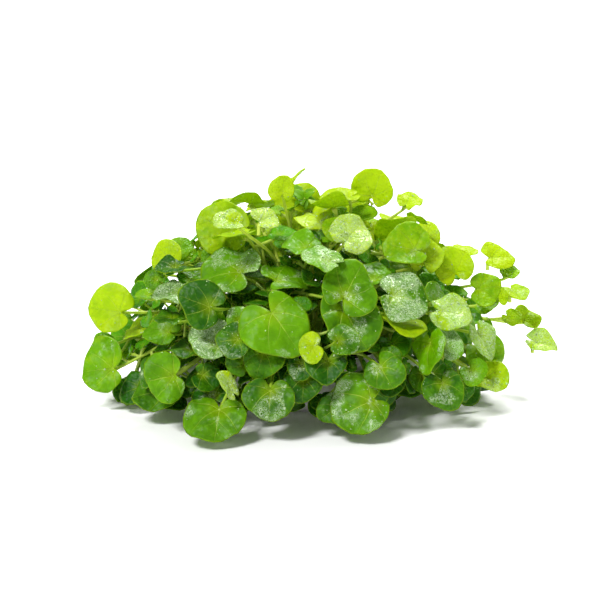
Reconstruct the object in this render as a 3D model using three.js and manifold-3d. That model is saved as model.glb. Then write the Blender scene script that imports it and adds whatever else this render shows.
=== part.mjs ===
// A low pot of broccoli microgreens: a dense mound of sprouts that flops over the rim of a plain pot.
// Millimetres, +Z up. The origin is the middle of the pot's flat underside, and -Y is the front.
import * as THREE from 'three';
import { mergeVertices } from 'three/addons/utils/BufferGeometryUtils.js';
import Module from 'manifold-3d';

const wasm = await Module();
wasm.setup();

const DEGREE = Math.PI / 180;
const GOLDEN_ANGLE = Math.PI * (3 - Math.sqrt(5));
const UP = new THREE.Vector3(0, 0, 1);

// Pot and soil
const POT_HEIGHT = 16;
const POT_RIM_RADIUS = 29.5;
const POT_FOOT_RADIUS = 23.5;
const POT_WALL = 2.2;
const POT_FLOOR = 2.4;
const POT_SIDES = 26;
const SOIL_GAP = 0.4;
const SOIL_EDGE_HEIGHT = 12.6;
const SOIL_CROWN = 1.2;
const SOIL_CORNER = 2;
const POT_FOOT_EDGE = 0.8;
const POT_CORNER = 1.5;
const HOLE_ABOVE = 1;
const HOLE_RADIUS = 2.75;
const HOLE_DEPTH = 3.2;
const HOLE_SIDES = 6;

// The mound of foliage is half an ellipsoid, whose middle is where the origin is.
const MOUND = new THREE.Vector3(59, 46, 60);
const MOST_LEAVES = 203;

// Clusters: sprouts that share one root in one hole
const CLUSTERS = 36;
const CLUSTER_ROOM = 6;
const SOWN_RADIUS = 21.6;
const ROOT_RADIUS = 2.1;
const ROOT_LENGTH = 1.6;
const ROOT_TAPER = 0.8;
const ROOT_SIDES = 6;
const ROOT_DEPTH = 0.5;
const ROOT_SPREAD = 1.18;
const FOOT_DEPTH = 0.6;

// Stems
const STEM_RADIUS = 0.6;
const STEM_TIP = 0.46;
const STEM_SIDES = 3;
const STEM_STRAIGHT = 2.6;
const NECK = 1.6;
const NECK_BACK = 0.7;
const FORK = 0.08;
const RISE = { least: 11, flopped: 6, share: 0.55, over: 9 };
const FLOP = { above: 8, reach: 0.4 };
const LEAN = { first: 2, step: 2.2, upright: 0.6 };

// Leaves: shares of the blade's width, unless they are millimetres
const STALK_INSET = 0.8;
const BLADE_THICKNESS = 0.64;
const BLADE_MIDDLE = 0.2;
const LARGE_BLADE = 14.5;
const LARGE_BLADE_POINTS = 10;
const SMALL_BLADE_POINTS = 8;
const NOTCH_SPREAD = 0.26;
const NOTCH_CROWDING = 0.46;
const TIP_SPREAD = 0.5;
const LOBE_REACH = 0.45;
const PAIR_GAP = 0.5;
const PAIR_SIDE = 0.47;
const WAVE_SPREAD = 0.6;
const BLADE_FORMS = {
  tip: [-0.02, 0.13],
  skew: [-0.08, 0.08],
  cup: [0.05, 0.55],
  fold: [0.04, 0.36],
  wave: [0.025, 0.075],
  phase: [0, 2 * Math.PI],
};

// Room that pieces leave each other, between their middle surfaces or lines
const BLADE_ROOM = 0.95;
const BLADE_RIM_ROOM = 0.6;
const STEM_BLADE_ROOM = 1.15;
const STEM_RIM_ROOM = 0.85;
const STEM_STEM_ROOM = 1.35;
const NEIGHBOUR_ROOM = 1.16;
const OWN_BLADE_ROOM = 1.1;
const OWN_BLADE_ABOVE = 8;
const HOLE_ROOM = 1.52;
const SOIL_ROOM = 0.9;
const LEAF_SOIL_ROOM = 2;
const GROUND_ROOM = 1;
const POT_ROOM = 1.3;
const LINE_STEP = 1.2;
const FACET_SAMPLES = [[1, 0], [0.66, 0.34], [0.34, 0.66], [0.6, 0], [0.4, 0.4]];

// The front view: from how far and how steeply it looks down, and the height that its middle looks at.
const VIEW = { distance: 520, elevation: 15 * DEGREE, height: 26 };
const VIEW_RIGHT = new THREE.Vector3(1, 0, 0);
const VIEW_UP = new THREE.Vector3(0, Math.sin(VIEW.elevation), Math.cos(VIEW.elevation));
const VIEW_BACK = new THREE.Vector3(0, -Math.cos(VIEW.elevation), Math.sin(VIEW.elevation));
const VIEW_FROM = VIEW_BACK.clone().multiplyScalar(VIEW.distance).addScaledVector(UP, VIEW.height);

// The sprouts that the front view shows, chosen by eye: one line for each sprout and one row for each leaf.
// A row holds how far right of the view's middle the notch shows, how far above it, the layer of the mound
// (1 is its surface), the blade's width, its length over its width, the midrib's heading in the view, and
// how far the face turns up and right from the viewer. Lengths are in millimetres and angles in degrees.
const SEEN = [
  [[7.5, -12.5, 1.15, 8.5, 0.8, 186, 15, 0], [8, -12.5, 1.15, 9, 0.85, 12, 15, 0]],
  [[-8.5, -3, 1.1, 18, 1, 308, 22, 0]],
  [[-23, -30.5, 1.1, 17, 0.85, 262, 42, 0]],
  [[21, -28.5, 1.1, 17, 0.85, 205, 15, 0]],
  [[-8.5, -25, 1.08, 14, 0.8, 268, 12, 0]],
  [[-31, -20.5, 1.08, 14.5, 0.75, 192, 8, 0], [-30.5, -21, 1.08, 8, 0.95, -15, 8, 10]],
  [[12, -2, 1.08, 16.5, 1.05, 303, 18, 10]],
  [[26, 1.5, 1.07, 16.5, 0.9, -12, 35, 10]],
  [[-11.5, 5, 1.06, 18, 0.9, 150, 35, -10], [-11, 5.5, 1.06, 14, 0.95, 8, 52, 10]],
  [[-53, -19.5, 1.02, 15.5, 0.8, 186, 12, -10]],
  [[-51, -3.5, 1.02, 14.5, 0.85, 172, 5, -15]],
  [[40.5, -23, 1.1, 11, 1.05, 292, 12, 0]],
  [[1, -21.5, 1, 10.5, 1, 268, 10, 0]],
  [[11.5, -30, 1, 9, 0.95, 215, 10, 0]],
  [[-7, -20.5, 1.02, 12, 0.95, 130, 15, 0]],
  [[-15, -19, 1.01, 10, 1, 95, 10, 0]],
  [[-24.5, -28, 1.04, 10, 0.95, 110, 20, 0]],
  [[24, -16.5, 1.03, 7.5, 0.9, 10, 20, 0]],
  [[8, -16.5, 1.08, 11, 0.85, 268, 30, 0]],
  [[27.5, -22.5, 1.05, 8, 0.95, 218, 15, 0]],
  [[-22.5, -13, 1.03, 13, 0.95, 158, 35, 0]],
  [[40, -3, 1.08, 12.5, 0.95, -8, 40, 0]],
  [[-17, -11, 1.08, 10, 0.95, 190, 15, 0]],
  [[26.5, -3.5, 1.12, 15, 0.95, 325, 72, 20]],
  [[-19.5, -25.5, 1.12, 7, 1.2, 118, 20, 50]],
  [[37, -11.5, 1.1, 12, 1, 262, 15, -55]],
  [[41, -14.5, 1.1, 9, 0.95, 72, 15, 0]],
  [[51, -9, 1.1, 9.5, 1.15, 300, 25, 35]],
  [[13, 0, 1.04, 15.5, 0.95, 62, 25, 0]],
  [[-30.5, -14, 1.1, 13, 0.9, 172, 76, 0]],
  [[-26.5, 8, 1.08, 12, 0.95, 188, 76, 0]],
  [[-35.5, -5, 1.08, 10, 0.9, 186, 74, 0]],
  [[-33.5, 2, 1.06, 11, 0.95, 178, 58, 0]],
  [[-13.5, 22, 1.06, 9, 0.9, 165, 55, 0], [-13, 22, 1.06, 9, 0.9, 28, 55, 0]],
  [[2.5, 14.5, 1.05, 12, 0.9, 170, 60, 0]],
  [[8.5, 11, 1.08, 12, 0.9, 160, 60, 0]],
  [[7, 15, 1, 15, 0.95, 150, 30, -10]],
  [[13, 17, 1.04, 12.5, 0.95, 48, 35, 10]],
  [[34.5, -20.5, 1.07, 9, 1, 285, 10, 30]],
  [[48.5, -19.5, 1.08, 8, 0.95, 300, 25, 0]],
  [[52, -21.5, 1.05, 10, 0.95, -25, 30, 0]],
  [[50.5, -13.5, 1.03, 11, 1, 308, 5, 10]],
  [[-37.5, -25.5, 1, 14, 0.9, 192, 50, 0]],
  [[-41, -19, 1.05, 9, 1.1, 225, 20, -40]],
  [[-17.5, -23.5, 1.04, 12, 0.95, 165, 20, 0]],
  [[-25, -2.5, 1.02, 13, 0.95, 160, 20, 0]],
  [[-36.5, -9.5, 1.02, 11, 0.95, 165, 25, 0]],
  [[-43, -8.5, 1, 12, 0.9, 170, 50, -20]],
  [[-35, 9.5, 1.05, 9, 0.95, 187, 60, 0]],
  [[-24.5, 11, 1.03, 8, 1, 72, 5, 0]],
  [[8, -3.5, 1.03, 14, 0.95, 120, 25, 0]],
  [[13, 3, 1.01, 16, 0.95, 165, 40, 0]],
  [[22, 5.5, 1.03, 12, 0.9, 150, 60, 0]],
  [[0, -17.5, 1.04, 8, 0.9, 290, 20, 0]],
  [[29, -21.5, 1.08, 9, 0.9, 20, 60, 0]],
  [[39, -1.5, 1.05, 10, 0.95, 115, 20, 50]],
  [[-5, 30.2, 1.03, 7, 1.15, 84, 0, 0]],
  [[20.5, 29, 0.99, 12.5, 0.8, 70, -12, 0]],
  [[28.5, 25, 1, 8, 1, 62, 15, -20], [29, 25, 1, 7, 1, -3, 70, 0]],
  [[14.5, 29.5, 1, 12, 0.9, 186, 72, 0]],
  [[10.5, 27, 1.02, 12, 0.9, 172, 104, 0]],
  [[2.5, 25.5, 0.97, 15, 0.95, 172, 20, 0]],
  [[31.5, 19.5, 1, 15, 0.9, 188, 106, 0]],
  [[-36.5, 11.5, 1, 9.5, 1, 138, 10, -20]],
  [[-15, 19, 1.02, 14, 0.9, 188, 76, 0]],
  [[-18.5, 20, 0.97, 16, 0.95, 160, 25, -10]],
  [[51.5, 11, 1, 8, 0.9, 155, 60, 0], [52.5, 11, 1, 10, 0.95, 5, 35, 0]],
  [[59, 5, 1, 6, 0.9, 60, 30, 0], [59.5, 5, 1, 8, 1.2, -42, 60, 0]],
  [[62, -10.5, 1, 8.5, 0.8, 62, 30, 20], [62.5, -10, 1, 7.5, 1.2, -14, 40, 0]],
  [[46, 2.5, 0.98, 11, 0.95, 108, 10, 0], [46.5, 2, 0.98, 10, 0.9, 8, 30, 0]],
  [[35.5, 10.5, 0.99, 11, 0.95, 80, 20, 0]],
  [[35.5, 16.5, 0.97, 9, 0.95, 70, 15, 0]],
  [[30.5, 11, 0.98, 14, 0.95, 165, 25, 0]],
  [[35.5, 5.5, 1, 12, 0.95, 170, 40, 0]],
  [[34.5, 14.5, 0.95, 13, 0.95, 170, 25, 0]],
  [[56.5, -2.5, 0.98, 5.5, 1.1, 100, 5, 0], [56.5, -3, 0.98, 6, 0.9, -35, 30, 0]],
  [[51, -1, 1, 8, 0.9, 10, 30, 0]],
  [[46.5, -11, 1, 8.5, 0.95, 300, 15, 0]],
  [[47, -24.5, 1, 8, 0.9, 0, 40, 0]],
  [[45, -19, 1.02, 8, 0.95, 50, 20, 0]],
  [[-18, -6.5, 1.02, 7, 1, 60, 20, 0]],
  [[-3.5, 17, 0.95, 12, 0.95, 150, 25, 0]],
  [[11.5, 18.5, 0.98, 9, 0.95, 120, 20, 0]],
  [[16.5, 25, 0.95, 7, 1, 100, 10, 0]],
  [[-35.5, 13.5, 0.97, 7.5, 1, 62, 20, 0]],
  [[-33, 14, 0.98, 8, 1, 275, 15, 10]],
  [[-27.5, 14.5, 0.98, 8, 0.95, 268, 15, 0]],
  [[-40.5, 5.5, 0.97, 6, 1, 150, 20, 0]],
  [[-43, 1.5, 0.98, 6, 0.9, 165, 60, 0]],
  [[-54.5, -13, 0.97, 7, 0.95, 150, 10, 0]],
  [[-47.5, -15, 1, 8, 0.9, 215, 50, -20]],
  [[-40.5, -14.5, 0.98, 10, 0.9, 185, 30, 0]],
  [[37, -7, 0.97, 9, 0.95, 150, 20, 0]],
  [[31.5, -15.5, 0.97, 10, 0.95, 160, 15, 0]],
  [[34.5, -13, 1, 11, 0.95, 180, 30, 0]],
  [[23.5, -19, 1, 11, 0.95, 300, 30, 0]],
  [[-10, -14, 1, 11, 0.95, 250, 30, 0]],
];

// How a sprout of the front view strays on later tries: degrees of turn and millimetres of drift.
const SEEN_TRIES = 144;
const TRIES_A_ROUND = 24;
const LAYER_STEP = 0.02;
const TURN = { after: 2, first: 12, step: 6 };
const DRIFT = { after: 8, first: 0.9, step: 0.6 };
const PAIR_SPREAD = { step: 0.03, most: 12 };
const STEEPEST = 1.6;

// Sprouts that a rule adds all round: how many are tried, how far up the mound, in which layers of it, their
// blade widths, the share of pairs, and how closely the blades lie along the mound.
const ADDED = [
  { count: 34, highest: 0.3, layer: [0.86, 1], width: [11, 15], pairs: 0, flatness: 1 },
  { count: 180, highest: 1, layer: [0.9, 1.03], width: [11, 17], pairs: 0.3, flatness: 1 },
  { count: 30, highest: 1, layer: [0.8, 0.92], width: [9, 12], pairs: 0, flatness: 0.4 },
  { count: 70, highest: 1, layer: [0.8, 1], width: [8, 11], pairs: 0, flatness: 0.7 },
  { count: 90, highest: 0.7, layer: [0.74, 0.97], width: [8, 11], pairs: 0, flatness: 0.7 },
];
const ADDED_TRIES = 44;
const LOWEST_ADDED = 0.03;
const HIGHEST_ADDED = 0.995;
const LOWEST_MIDDLE = 7.5;
const SPIRAL = { power: 0.82, groupTurn: 1.7 };
const STRAY = { first: 0.04, step: 0.012, up: 0.6, round: 4, deeper: 0.006 };
const BEHIND_SEEN = { most: 0.07, half: 0.5, back: 1.5 };
const LOOK_UP = [0.1, 0.75];
const LOOK_ASIDE = 0.65;
const DROOP = -0.25;
const TWIST = 70 * DEGREE;
const SHRINK = { after: 14, share: 0.75 };
const SINGLE_RATIO = [0.82, 1.05];
const PAIRED = { tries: 12, size: 0.82, open: [140, 200], ratio: [0.85, 1.05], tilt: -0.25 };

// Places for stems that are tried for each sprout
const BENDS = 14;
const CHOICES = 6;

// A stream of repeatable draws from 0 to 1 for one seed.
function draws(seed) {
  const modulus = 2147483647;
  let state = (seed * 7919 + 104729) % modulus;
  const next = () => {
    state = (state * 16807) % modulus;
    return state / modulus;
  };
  next();
  next();
  return next;
}

const between = (next, low, high) => low + (high - low) * next();

// The form of one blade, drawn once for each leaf of the plant.
function bladeForm(serial, width, ratio) {
  const next = draws(serial * 31 + 7);
  const form = { width, ratio };
  for (const [name, [low, high]] of Object.entries(BLADE_FORMS)) form[name] = between(next, low, high);
  return form;
}

// The outline's place in the blade's plane, forward and across from the end of the stalk,
// at an angle from the tip round the blade's middle.
function rimPlace(form, angle) {
  const fromNotch = Math.PI - Math.abs(angle);
  const notch = 0.5 - BLADE_MIDDLE / form.ratio;
  const reach =
    0.5 +
    form.tip * Math.exp(-((angle / TIP_SPREAD) ** 2)) +
    form.skew * Math.sin(angle) -
    notch * Math.exp(-((fromNotch / NOTCH_SPREAD) ** 2));
  return {
    forward: (BLADE_MIDDLE + reach * form.ratio * Math.cos(angle)) * form.width - STALK_INSET,
    across: reach * Math.sin(angle) * form.width,
  };
}

// Height of the blade over its plane, at an angle and at a share of the way from the stalk to the outline.
function lift(form, angle, share) {
  const { forward, across } = rimPlace(form, angle);
  const reach = share * Math.hypot(forward, across);
  const fromNotch = Math.PI - Math.abs(angle);
  const wave = form.wave * form.width * share * share * (1 - Math.exp(-((fromNotch / WAVE_SPREAD) ** 2)));
  return (
    (-form.cup * reach * reach) / form.width +
    form.fold * share * Math.abs(across) +
    wave * Math.sin(3 * angle + form.phase)
  );
}

const rimPoints = (form) => (form.width >= LARGE_BLADE ? LARGE_BLADE_POINTS : SMALL_BLADE_POINTS);

// Crowds evenly spaced angles towards the notch, where the outline turns most.
const rimAngle = (angle) => angle + NOTCH_CROWDING * Math.sin(angle);

// A leaf: its midrib, side and face directions, the end of its stalk, its form, and the corners of its rim.
function leafAt(notch, midrib, face, form) {
  const along = midrib.clone().normalize();
  const out = face.clone().addScaledVector(along, -face.dot(along)).normalize();
  const side = out.clone().cross(along);
  const stalk = notch.clone().addScaledVector(along, STALK_INSET);
  const leaf = { along, side, out, stalk, form };
  const count = rimPoints(form);
  leaf.rim = Array.from({ length: count + 1 }, (_, i) => {
    const angle = rimAngle((2 * Math.PI * i) / count - Math.PI);
    const { forward, across } = rimPlace(form, angle);
    const turn = i === 0 ? -Math.PI : i === count ? Math.PI : Math.atan2(across, forward);
    return { forward, across, height: lift(form, angle, 1), turn };
  });
  leaf.middle = leafPlace(leaf, BLADE_MIDDLE * form.width - STALK_INSET, 0, 0);
  leaf.samples = [stalk.clone()];
  for (let i = 0; i < count; i += 1) {
    const [a, b] = [leaf.rim[i], leaf.rim[i + 1]];
    for (const [s, t] of FACET_SAMPLES) {
      const mixed = (size) => s * a[size] + t * b[size];
      leaf.samples.push(leafPlace(leaf, mixed('forward'), mixed('across'), mixed('height')));
    }
  }
  return leaf;
}

// A point from its place in a leaf's plane and its height over it.
const leafPlace = (leaf, forward, across, height) =>
  leaf.stalk
    .clone()
    .addScaledVector(leaf.along, forward)
    .addScaledVector(leaf.side, across)
    .addScaledVector(leaf.out, height);

// A point's height off a leaf's middle surface, or null if it is past the rim.
function heightOver(leaf, point, rimRoom) {
  const offset = point.clone().sub(leaf.stalk);
  const forward = offset.dot(leaf.along);
  const across = offset.dot(leaf.side);
  const turn = Math.atan2(across, forward);
  let sector = 0;
  while (sector < leaf.rim.length - 2 && leaf.rim[sector + 1].turn < turn) sector += 1;
  const [a, b] = [leaf.rim[sector], leaf.rim[sector + 1]];
  const area = a.forward * b.across - a.across * b.forward;
  let s = (forward * b.across - across * b.forward) / area;
  let t = (a.forward * across - a.across * forward) / area;
  const past = s + t;
  if (past > 1) {
    const edge = Math.hypot(b.forward - a.forward, b.across - a.across);
    if (((past - 1) * Math.abs(area)) / edge > rimRoom) return null;
    s /= past;
    t /= past;
  }
  return offset.dot(leaf.out) - s * a.height - t * b.height;
}

// Where the line of sight through a place in the front view meets a layer of the mound.
function seenPoint(across, up, layer) {
  const sight = VIEW_BACK.clone()
    .multiplyScalar(-VIEW.distance)
    .addScaledVector(VIEW_RIGHT, across)
    .addScaledVector(VIEW_UP, up);
  const start = VIEW_FROM.clone().divide(MOUND);
  const step = sight.clone().divide(MOUND);
  const nearest = -start.dot(step) / step.lengthSq();
  const miss = start.clone().addScaledVector(step, nearest).lengthSq();
  const back = Math.sqrt(Math.max(layer * layer - miss, 0) / step.lengthSq());
  return VIEW_FROM.clone().addScaledVector(sight, nearest - back);
}

// The directions of a leaf that shows a heading and a turned face in the front view.
function seenDirections(heading, turnedUp, turnedRight) {
  const face = VIEW_BACK.clone()
    .multiplyScalar(Math.cos(turnedUp * DEGREE) * Math.cos(turnedRight * DEGREE))
    .addScaledVector(VIEW_UP, Math.sin(turnedUp * DEGREE))
    .addScaledVector(VIEW_RIGHT, Math.sin(turnedRight * DEGREE))
    .normalize();
  const flat = VIEW_RIGHT.clone()
    .multiplyScalar(Math.cos(heading * DEGREE))
    .addScaledVector(VIEW_UP, Math.sin(heading * DEGREE));
  const steepness = THREE.MathUtils.clamp(-flat.dot(face) / face.dot(VIEW_BACK), -STEEPEST, STEEPEST);
  return { face, midrib: flat.addScaledVector(VIEW_BACK, steepness).normalize() };
}

// One try at a sprout of the front view. Later tries lie a little deeper or nearer, and turn and drift.
function seenSprout(index, attempt) {
  const next = draws(index * 101 + attempt * 17 + 3);
  const step = attempt % TRIES_A_ROUND;
  const round = Math.floor(attempt / TRIES_A_ROUND);
  const shift = LAYER_STEP * (step % 3 === 2 ? (step + 1) / 3 : -Math.ceil((step * 2) / 3));
  const tilt = attempt < TURN.after ? 0 : TURN.first + TURN.step * round;
  const [turn, rise] = [between(next, -tilt, tilt), between(next, -tilt, tilt)];
  const drift = attempt < DRIFT.after ? 0 : DRIFT.first + DRIFT.step * round;
  const [aside, above] = [between(next, -drift, drift), between(next, -drift, drift)];
  const rows = SEEN[index];
  const [firstAcross, firstUp, firstLayer] = rows[0];
  const top = seenPoint(firstAcross + aside, firstUp + above, firstLayer + shift);
  return rows.map(([, , , width, ratio, heading, turnedUp, turnedRight], place) => {
    const { face, midrib } = seenDirections(heading, turnedUp + rise, turnedRight + turn);
    const form = bladeForm(index * 2 + place + 1, width, ratio);
    if (rows.length === 1) return leafAt(top, midrib, face, form);
    const open = Math.abs(heading - rows[1 - place][5]) * DEGREE;
    const apart = pairGap(form, open) * (1 + PAIR_SPREAD.step * Math.min(attempt, PAIR_SPREAD.most));
    return leafAt(top.clone().addScaledVector(midrib, apart), midrib, face, form);
  });
}

// How far a paired leaf's notch stands from the fork, so that the two blades' lobes pass each other.
const pairGap = (form, open) =>
  Math.max(
    PAIR_GAP + (LOBE_REACH * form.ratio - BLADE_MIDDLE) * form.width,
    (PAIR_SIDE / Math.abs(Math.sin(open / 2)) - BLADE_MIDDLE) * form.width,
  );

// One try at a sprout that the rule adds, near its place on a golden spiral over the mound. At the front it
// stays a little deeper than the sprouts of the front view.
function addedSprout(group, index, attempt) {
  const next = draws(group * 50021 + index * 211 + attempt * 29 + 11);
  const { count, highest, layer, width, pairs, flatness } = ADDED[group];
  const stray = STRAY.first + STRAY.step * attempt;
  const height = highest - (highest - LOWEST_ADDED) * ((index + 0.5) / count) ** SPIRAL.power;
  const up = THREE.MathUtils.clamp(
    height + between(next, -stray, stray) * STRAY.up,
    LOWEST_ADDED,
    HIGHEST_ADDED,
  );
  const round = index * GOLDEN_ANGLE + group * SPIRAL.groupTurn + between(next, -stray, stray) * STRAY.round;
  const out = Math.sqrt(1 - up * up);
  const sphere = new THREE.Vector3(out * Math.cos(round), out * Math.sin(round), up);
  const frontness = THREE.MathUtils.clamp(BEHIND_SEEN.half - BEHIND_SEEN.back * sphere.y, 0, 1);
  const deep = between(next, ...layer) - STRAY.deeper * attempt - BEHIND_SEEN.most * frontness;
  const centre = sphere.clone().multiply(MOUND).multiplyScalar(deep);
  centre.z = Math.max(centre.z, LOWEST_MIDDLE);
  const lookUp = between(next, ...LOOK_UP);
  const aside = new THREE.Vector3(between(next, -1, 1), between(next, -1, 1), between(next, -1, 1));
  const face = sphere
    .clone()
    .divide(MOUND)
    .normalize()
    .addScaledVector(UP, lookUp)
    .multiplyScalar(flatness)
    .addScaledVector(aside, LOOK_ASIDE)
    .normalize();
  const outward = new THREE.Vector3(sphere.x, sphere.y, DROOP);
  const midrib = outward
    .addScaledVector(face, -outward.dot(face))
    .normalize()
    .applyAxisAngle(face, between(next, -1, 1) * TWIST);
  const serial = 1000 * (group + 1) + index * 2;
  const paired = draws(serial)() < pairs && attempt < PAIRED.tries;
  const shrink = (attempt > SHRINK.after ? SHRINK.share : 1) * (paired ? PAIRED.size : 1);
  const size = between(next, ...width) * shrink;
  if (!paired) {
    const notch = centre.clone().addScaledVector(midrib, -BLADE_MIDDLE * size);
    return [leafAt(notch, midrib, face, bladeForm(serial, size, between(next, ...SINGLE_RATIO)))];
  }
  const open = between(next, ...PAIRED.open) * DEGREE;
  return [1, -1].map((turn, place) => {
    const direction = midrib.clone().applyAxisAngle(face, (turn * open) / 2);
    const tilted = face.clone().addScaledVector(direction, PAIRED.tilt);
    const form = bladeForm(serial + place, size, between(next, ...PAIRED.ratio));
    return leafAt(centre.clone().addScaledVector(direction, pairGap(form, open)), direction, tilted, form);
  });
}

// How far a stem bows aside, further on later tries.
function bendOf(serial, attempt) {
  const next = draws(serial * 13 + attempt * 37);
  const lean = LEAN.first + attempt * LEAN.step;
  const [x, y, z] = [between(next, -lean, lean), between(next, -lean, lean), between(next, -lean, lean)];
  return new THREE.Vector3(x, y, z * LEAN.upright);
}

// Where the clusters are sown, on a golden spiral.
const sown = Array.from({ length: CLUSTERS }, (_, i) => {
  const radius = SOWN_RADIUS * Math.sqrt((i + 0.5) / CLUSTERS);
  return new THREE.Vector3(radius * Math.cos(i * GOLDEN_ANGLE), radius * Math.sin(i * GOLDEN_ANGLE), 0);
});

const soilHeight = (radius) => SOIL_EDGE_HEIGHT + SOIL_CROWN * (1 - (radius / POT_RIM_RADIUS) ** 2);

// The sown places, those first that suit a sprout's top: low outer tops grow from the rim, high ones from
// the middle.
function clustersFor(top) {
  const sphere = top.clone().divide(MOUND).normalize();
  const radius = SOWN_RADIUS * Math.sqrt(THREE.MathUtils.clamp(1 - sphere.z, 0, 1));
  const round = Math.atan2(sphere.y, sphere.x);
  const wanted = new THREE.Vector3(radius * Math.cos(round), radius * Math.sin(round), 0);
  return sown.map((place, i) => [place.distanceTo(wanted), i]).sort((a, b) => a[0] - b[0]);
}

// The foot of a stem: one of the places round the cluster's root.
function stemFoot(cluster, slot) {
  const foot = sown[cluster].clone();
  const round = (slot / CLUSTER_ROOM) * 2 * Math.PI + Math.atan2(foot.y, foot.x);
  foot.z = soilHeight(foot.length()) - ROOT_DEPTH - FOOT_DEPTH;
  foot.x += ROOT_SPREAD * Math.cos(round);
  foot.y += ROOT_SPREAD * Math.sin(round);
  return foot;
}

// Where a stem turns into a leaf's stalk, under the blade and behind its notch.
const neckOf = (leaf) =>
  leaf.stalk.clone().addScaledVector(leaf.out, -NECK).addScaledVector(leaf.along, -NECK * NECK_BACK);

// The joints of a stem: straight up out of its hole, then over to the neck of its first leaf.
function stemJoints(foot, leaf, bend) {
  const neck = neckOf(leaf);
  const low = foot.clone().addScaledVector(UP, STEM_STRAIGHT);
  const flop = THREE.MathUtils.clamp((POT_HEIGHT + FLOP.above - neck.z) / POT_HEIGHT, 0, 1);
  const rise = Math.max(RISE.least + RISE.flopped * flop, RISE.share * (neck.z - low.z) + RISE.over);
  const high = low.clone().lerp(neck, FLOP.reach * flop).add(bend);
  high.z = low.z + rise + bend.z;
  const middle = new THREE.QuadraticBezierCurve3(low, high, neck).getPoint(0.5);
  return [foot, low, middle, neck];
}

// Points a little way apart along the straight pieces between joints.
function linePoints(joints) {
  const points = [];
  for (let i = 0; i + 1 < joints.length; i += 1) {
    const steps = Math.ceil(joints[i].distanceTo(joints[i + 1]) / LINE_STEP);
    for (let k = 1; k <= steps; k += 1) points.push(joints[i].clone().lerp(joints[i + 1], k / steps));
  }
  return points;
}

// The least distance between two straight pieces.
function pieceDistance([a, b], [c, d]) {
  const u = b.clone().sub(a);
  const v = d.clone().sub(c);
  const w = a.clone().sub(c);
  const [uu, uv, vv, uw, vw] = [u.dot(u), u.dot(v), v.dot(v), u.dot(w), v.dot(w)];
  const area = uu * vv - uv * uv;
  let s = area > 1e-9 ? THREE.MathUtils.clamp((uv * vw - vv * uw) / area, 0, 1) : 0;
  const t = THREE.MathUtils.clamp((uv * s + vw) / vv, 0, 1);
  s = THREE.MathUtils.clamp((uv * t - uw) / uu, 0, 1);
  return w.addScaledVector(u, s).addScaledVector(v, -t).length();
}

// True if a point is too near the pot's wall.
function inPot(point) {
  if (point.z > POT_HEIGHT + POT_ROOM) return false;
  const radius = Math.hypot(point.x, point.y);
  const share = THREE.MathUtils.clamp(point.z / POT_HEIGHT, 0, 1);
  const outer = THREE.MathUtils.lerp(POT_FOOT_RADIUS, POT_RIM_RADIUS, share);
  return radius < outer + POT_ROOM && radius > outer - POT_WALL - POT_ROOM;
}

// True if two leaves come too near each other or cross.
function leavesMeet(a, b) {
  const far = 0.62 * (a.form.width + b.form.width) + BLADE_ROOM;
  if (a.middle.distanceTo(b.middle) > far) return false;
  for (const [points, other] of [[a.samples, b], [b.samples, a]]) {
    let over = false;
    let under = false;
    for (const point of points) {
      const height = heightOver(other, point, BLADE_RIM_ROOM);
      if (height === null) continue;
      if (Math.abs(height) < BLADE_ROOM) return true;
      over ||= height > 0;
      under ||= height < 0;
    }
    if (over && under) return true;
  }
  return false;
}

// True if a stem comes too near a leaf.
function stemMeetsLeaf(line, leaf) {
  return line.some((point) => {
    if (point.distanceTo(leaf.middle) > 0.7 * leaf.form.width + STEM_BLADE_ROOM) return false;
    const height = heightOver(leaf, point, STEM_RIM_ROOM);
    return height !== null && Math.abs(height) < STEM_BLADE_ROOM;
  });
}

// True if a stem comes up to its own leaf from anywhere but below.
const stemMeetsOwnLeaf = (line, leaf) =>
  line.some((point) => {
    const height = heightOver(leaf, point, STEM_RIM_ROOM);
    return height !== null && height > -OWN_BLADE_ROOM && height < OWN_BLADE_ABOVE;
  });

const stemsMeet = (a, b, room) => a.some((piece) => b.some((other) => pieceDistance(piece, other) < room));

// True if a sprout's leaves stand clear of the ground, the pot, the soil and every sprout already placed.
function leavesClear(leaves, placed) {
  for (const leaf of leaves)
    for (const point of leaf.samples) {
      if (point.z < GROUND_ROOM || inPot(point)) return false;
      const radius = Math.hypot(point.x, point.y);
      if (radius < POT_RIM_RADIUS && point.z < soilHeight(radius) + LEAF_SOIL_ROOM) return false;
    }
  if (leaves.length > 1 && leavesMeet(leaves[0], leaves[1])) return false;
  return placed.every(
    (other) =>
      !leaves.some((leaf) => stemMeetsLeaf(other.line, leaf)) &&
      !leaves.some((leaf) => other.leaves.some((otherLeaf) => leavesMeet(leaf, otherLeaf))),
  );
}

// True if a point of a stem is too near the soil round its hole.
function inSoil(point, cluster) {
  const radius = Math.hypot(point.x, point.y);
  if (radius > POT_RIM_RADIUS || point.z > soilHeight(radius) + SOIL_ROOM) return false;
  return Math.hypot(point.x - sown[cluster].x, point.y - sown[cluster].y) > HOLE_ROOM;
}

// True if a sprout's stem stands clear of the ground, the pot, the soil and every sprout already placed.
function stemClear(sprout, placed) {
  const { line, pieces, leaves, cluster } = sprout;
  if (line.some((p) => p.z < GROUND_ROOM || inPot(p) || inSoil(p, cluster))) return false;
  if (leaves.some((leaf) => stemMeetsOwnLeaf(line, leaf))) return false;
  return placed.every(
    (other) =>
      !other.leaves.some((leaf) => stemMeetsLeaf(line, leaf)) &&
      !stemsMeet(pieces, other.pieces, other.cluster === cluster ? NEIGHBOUR_ROOM : STEM_STEM_ROOM),
  );
}

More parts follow.
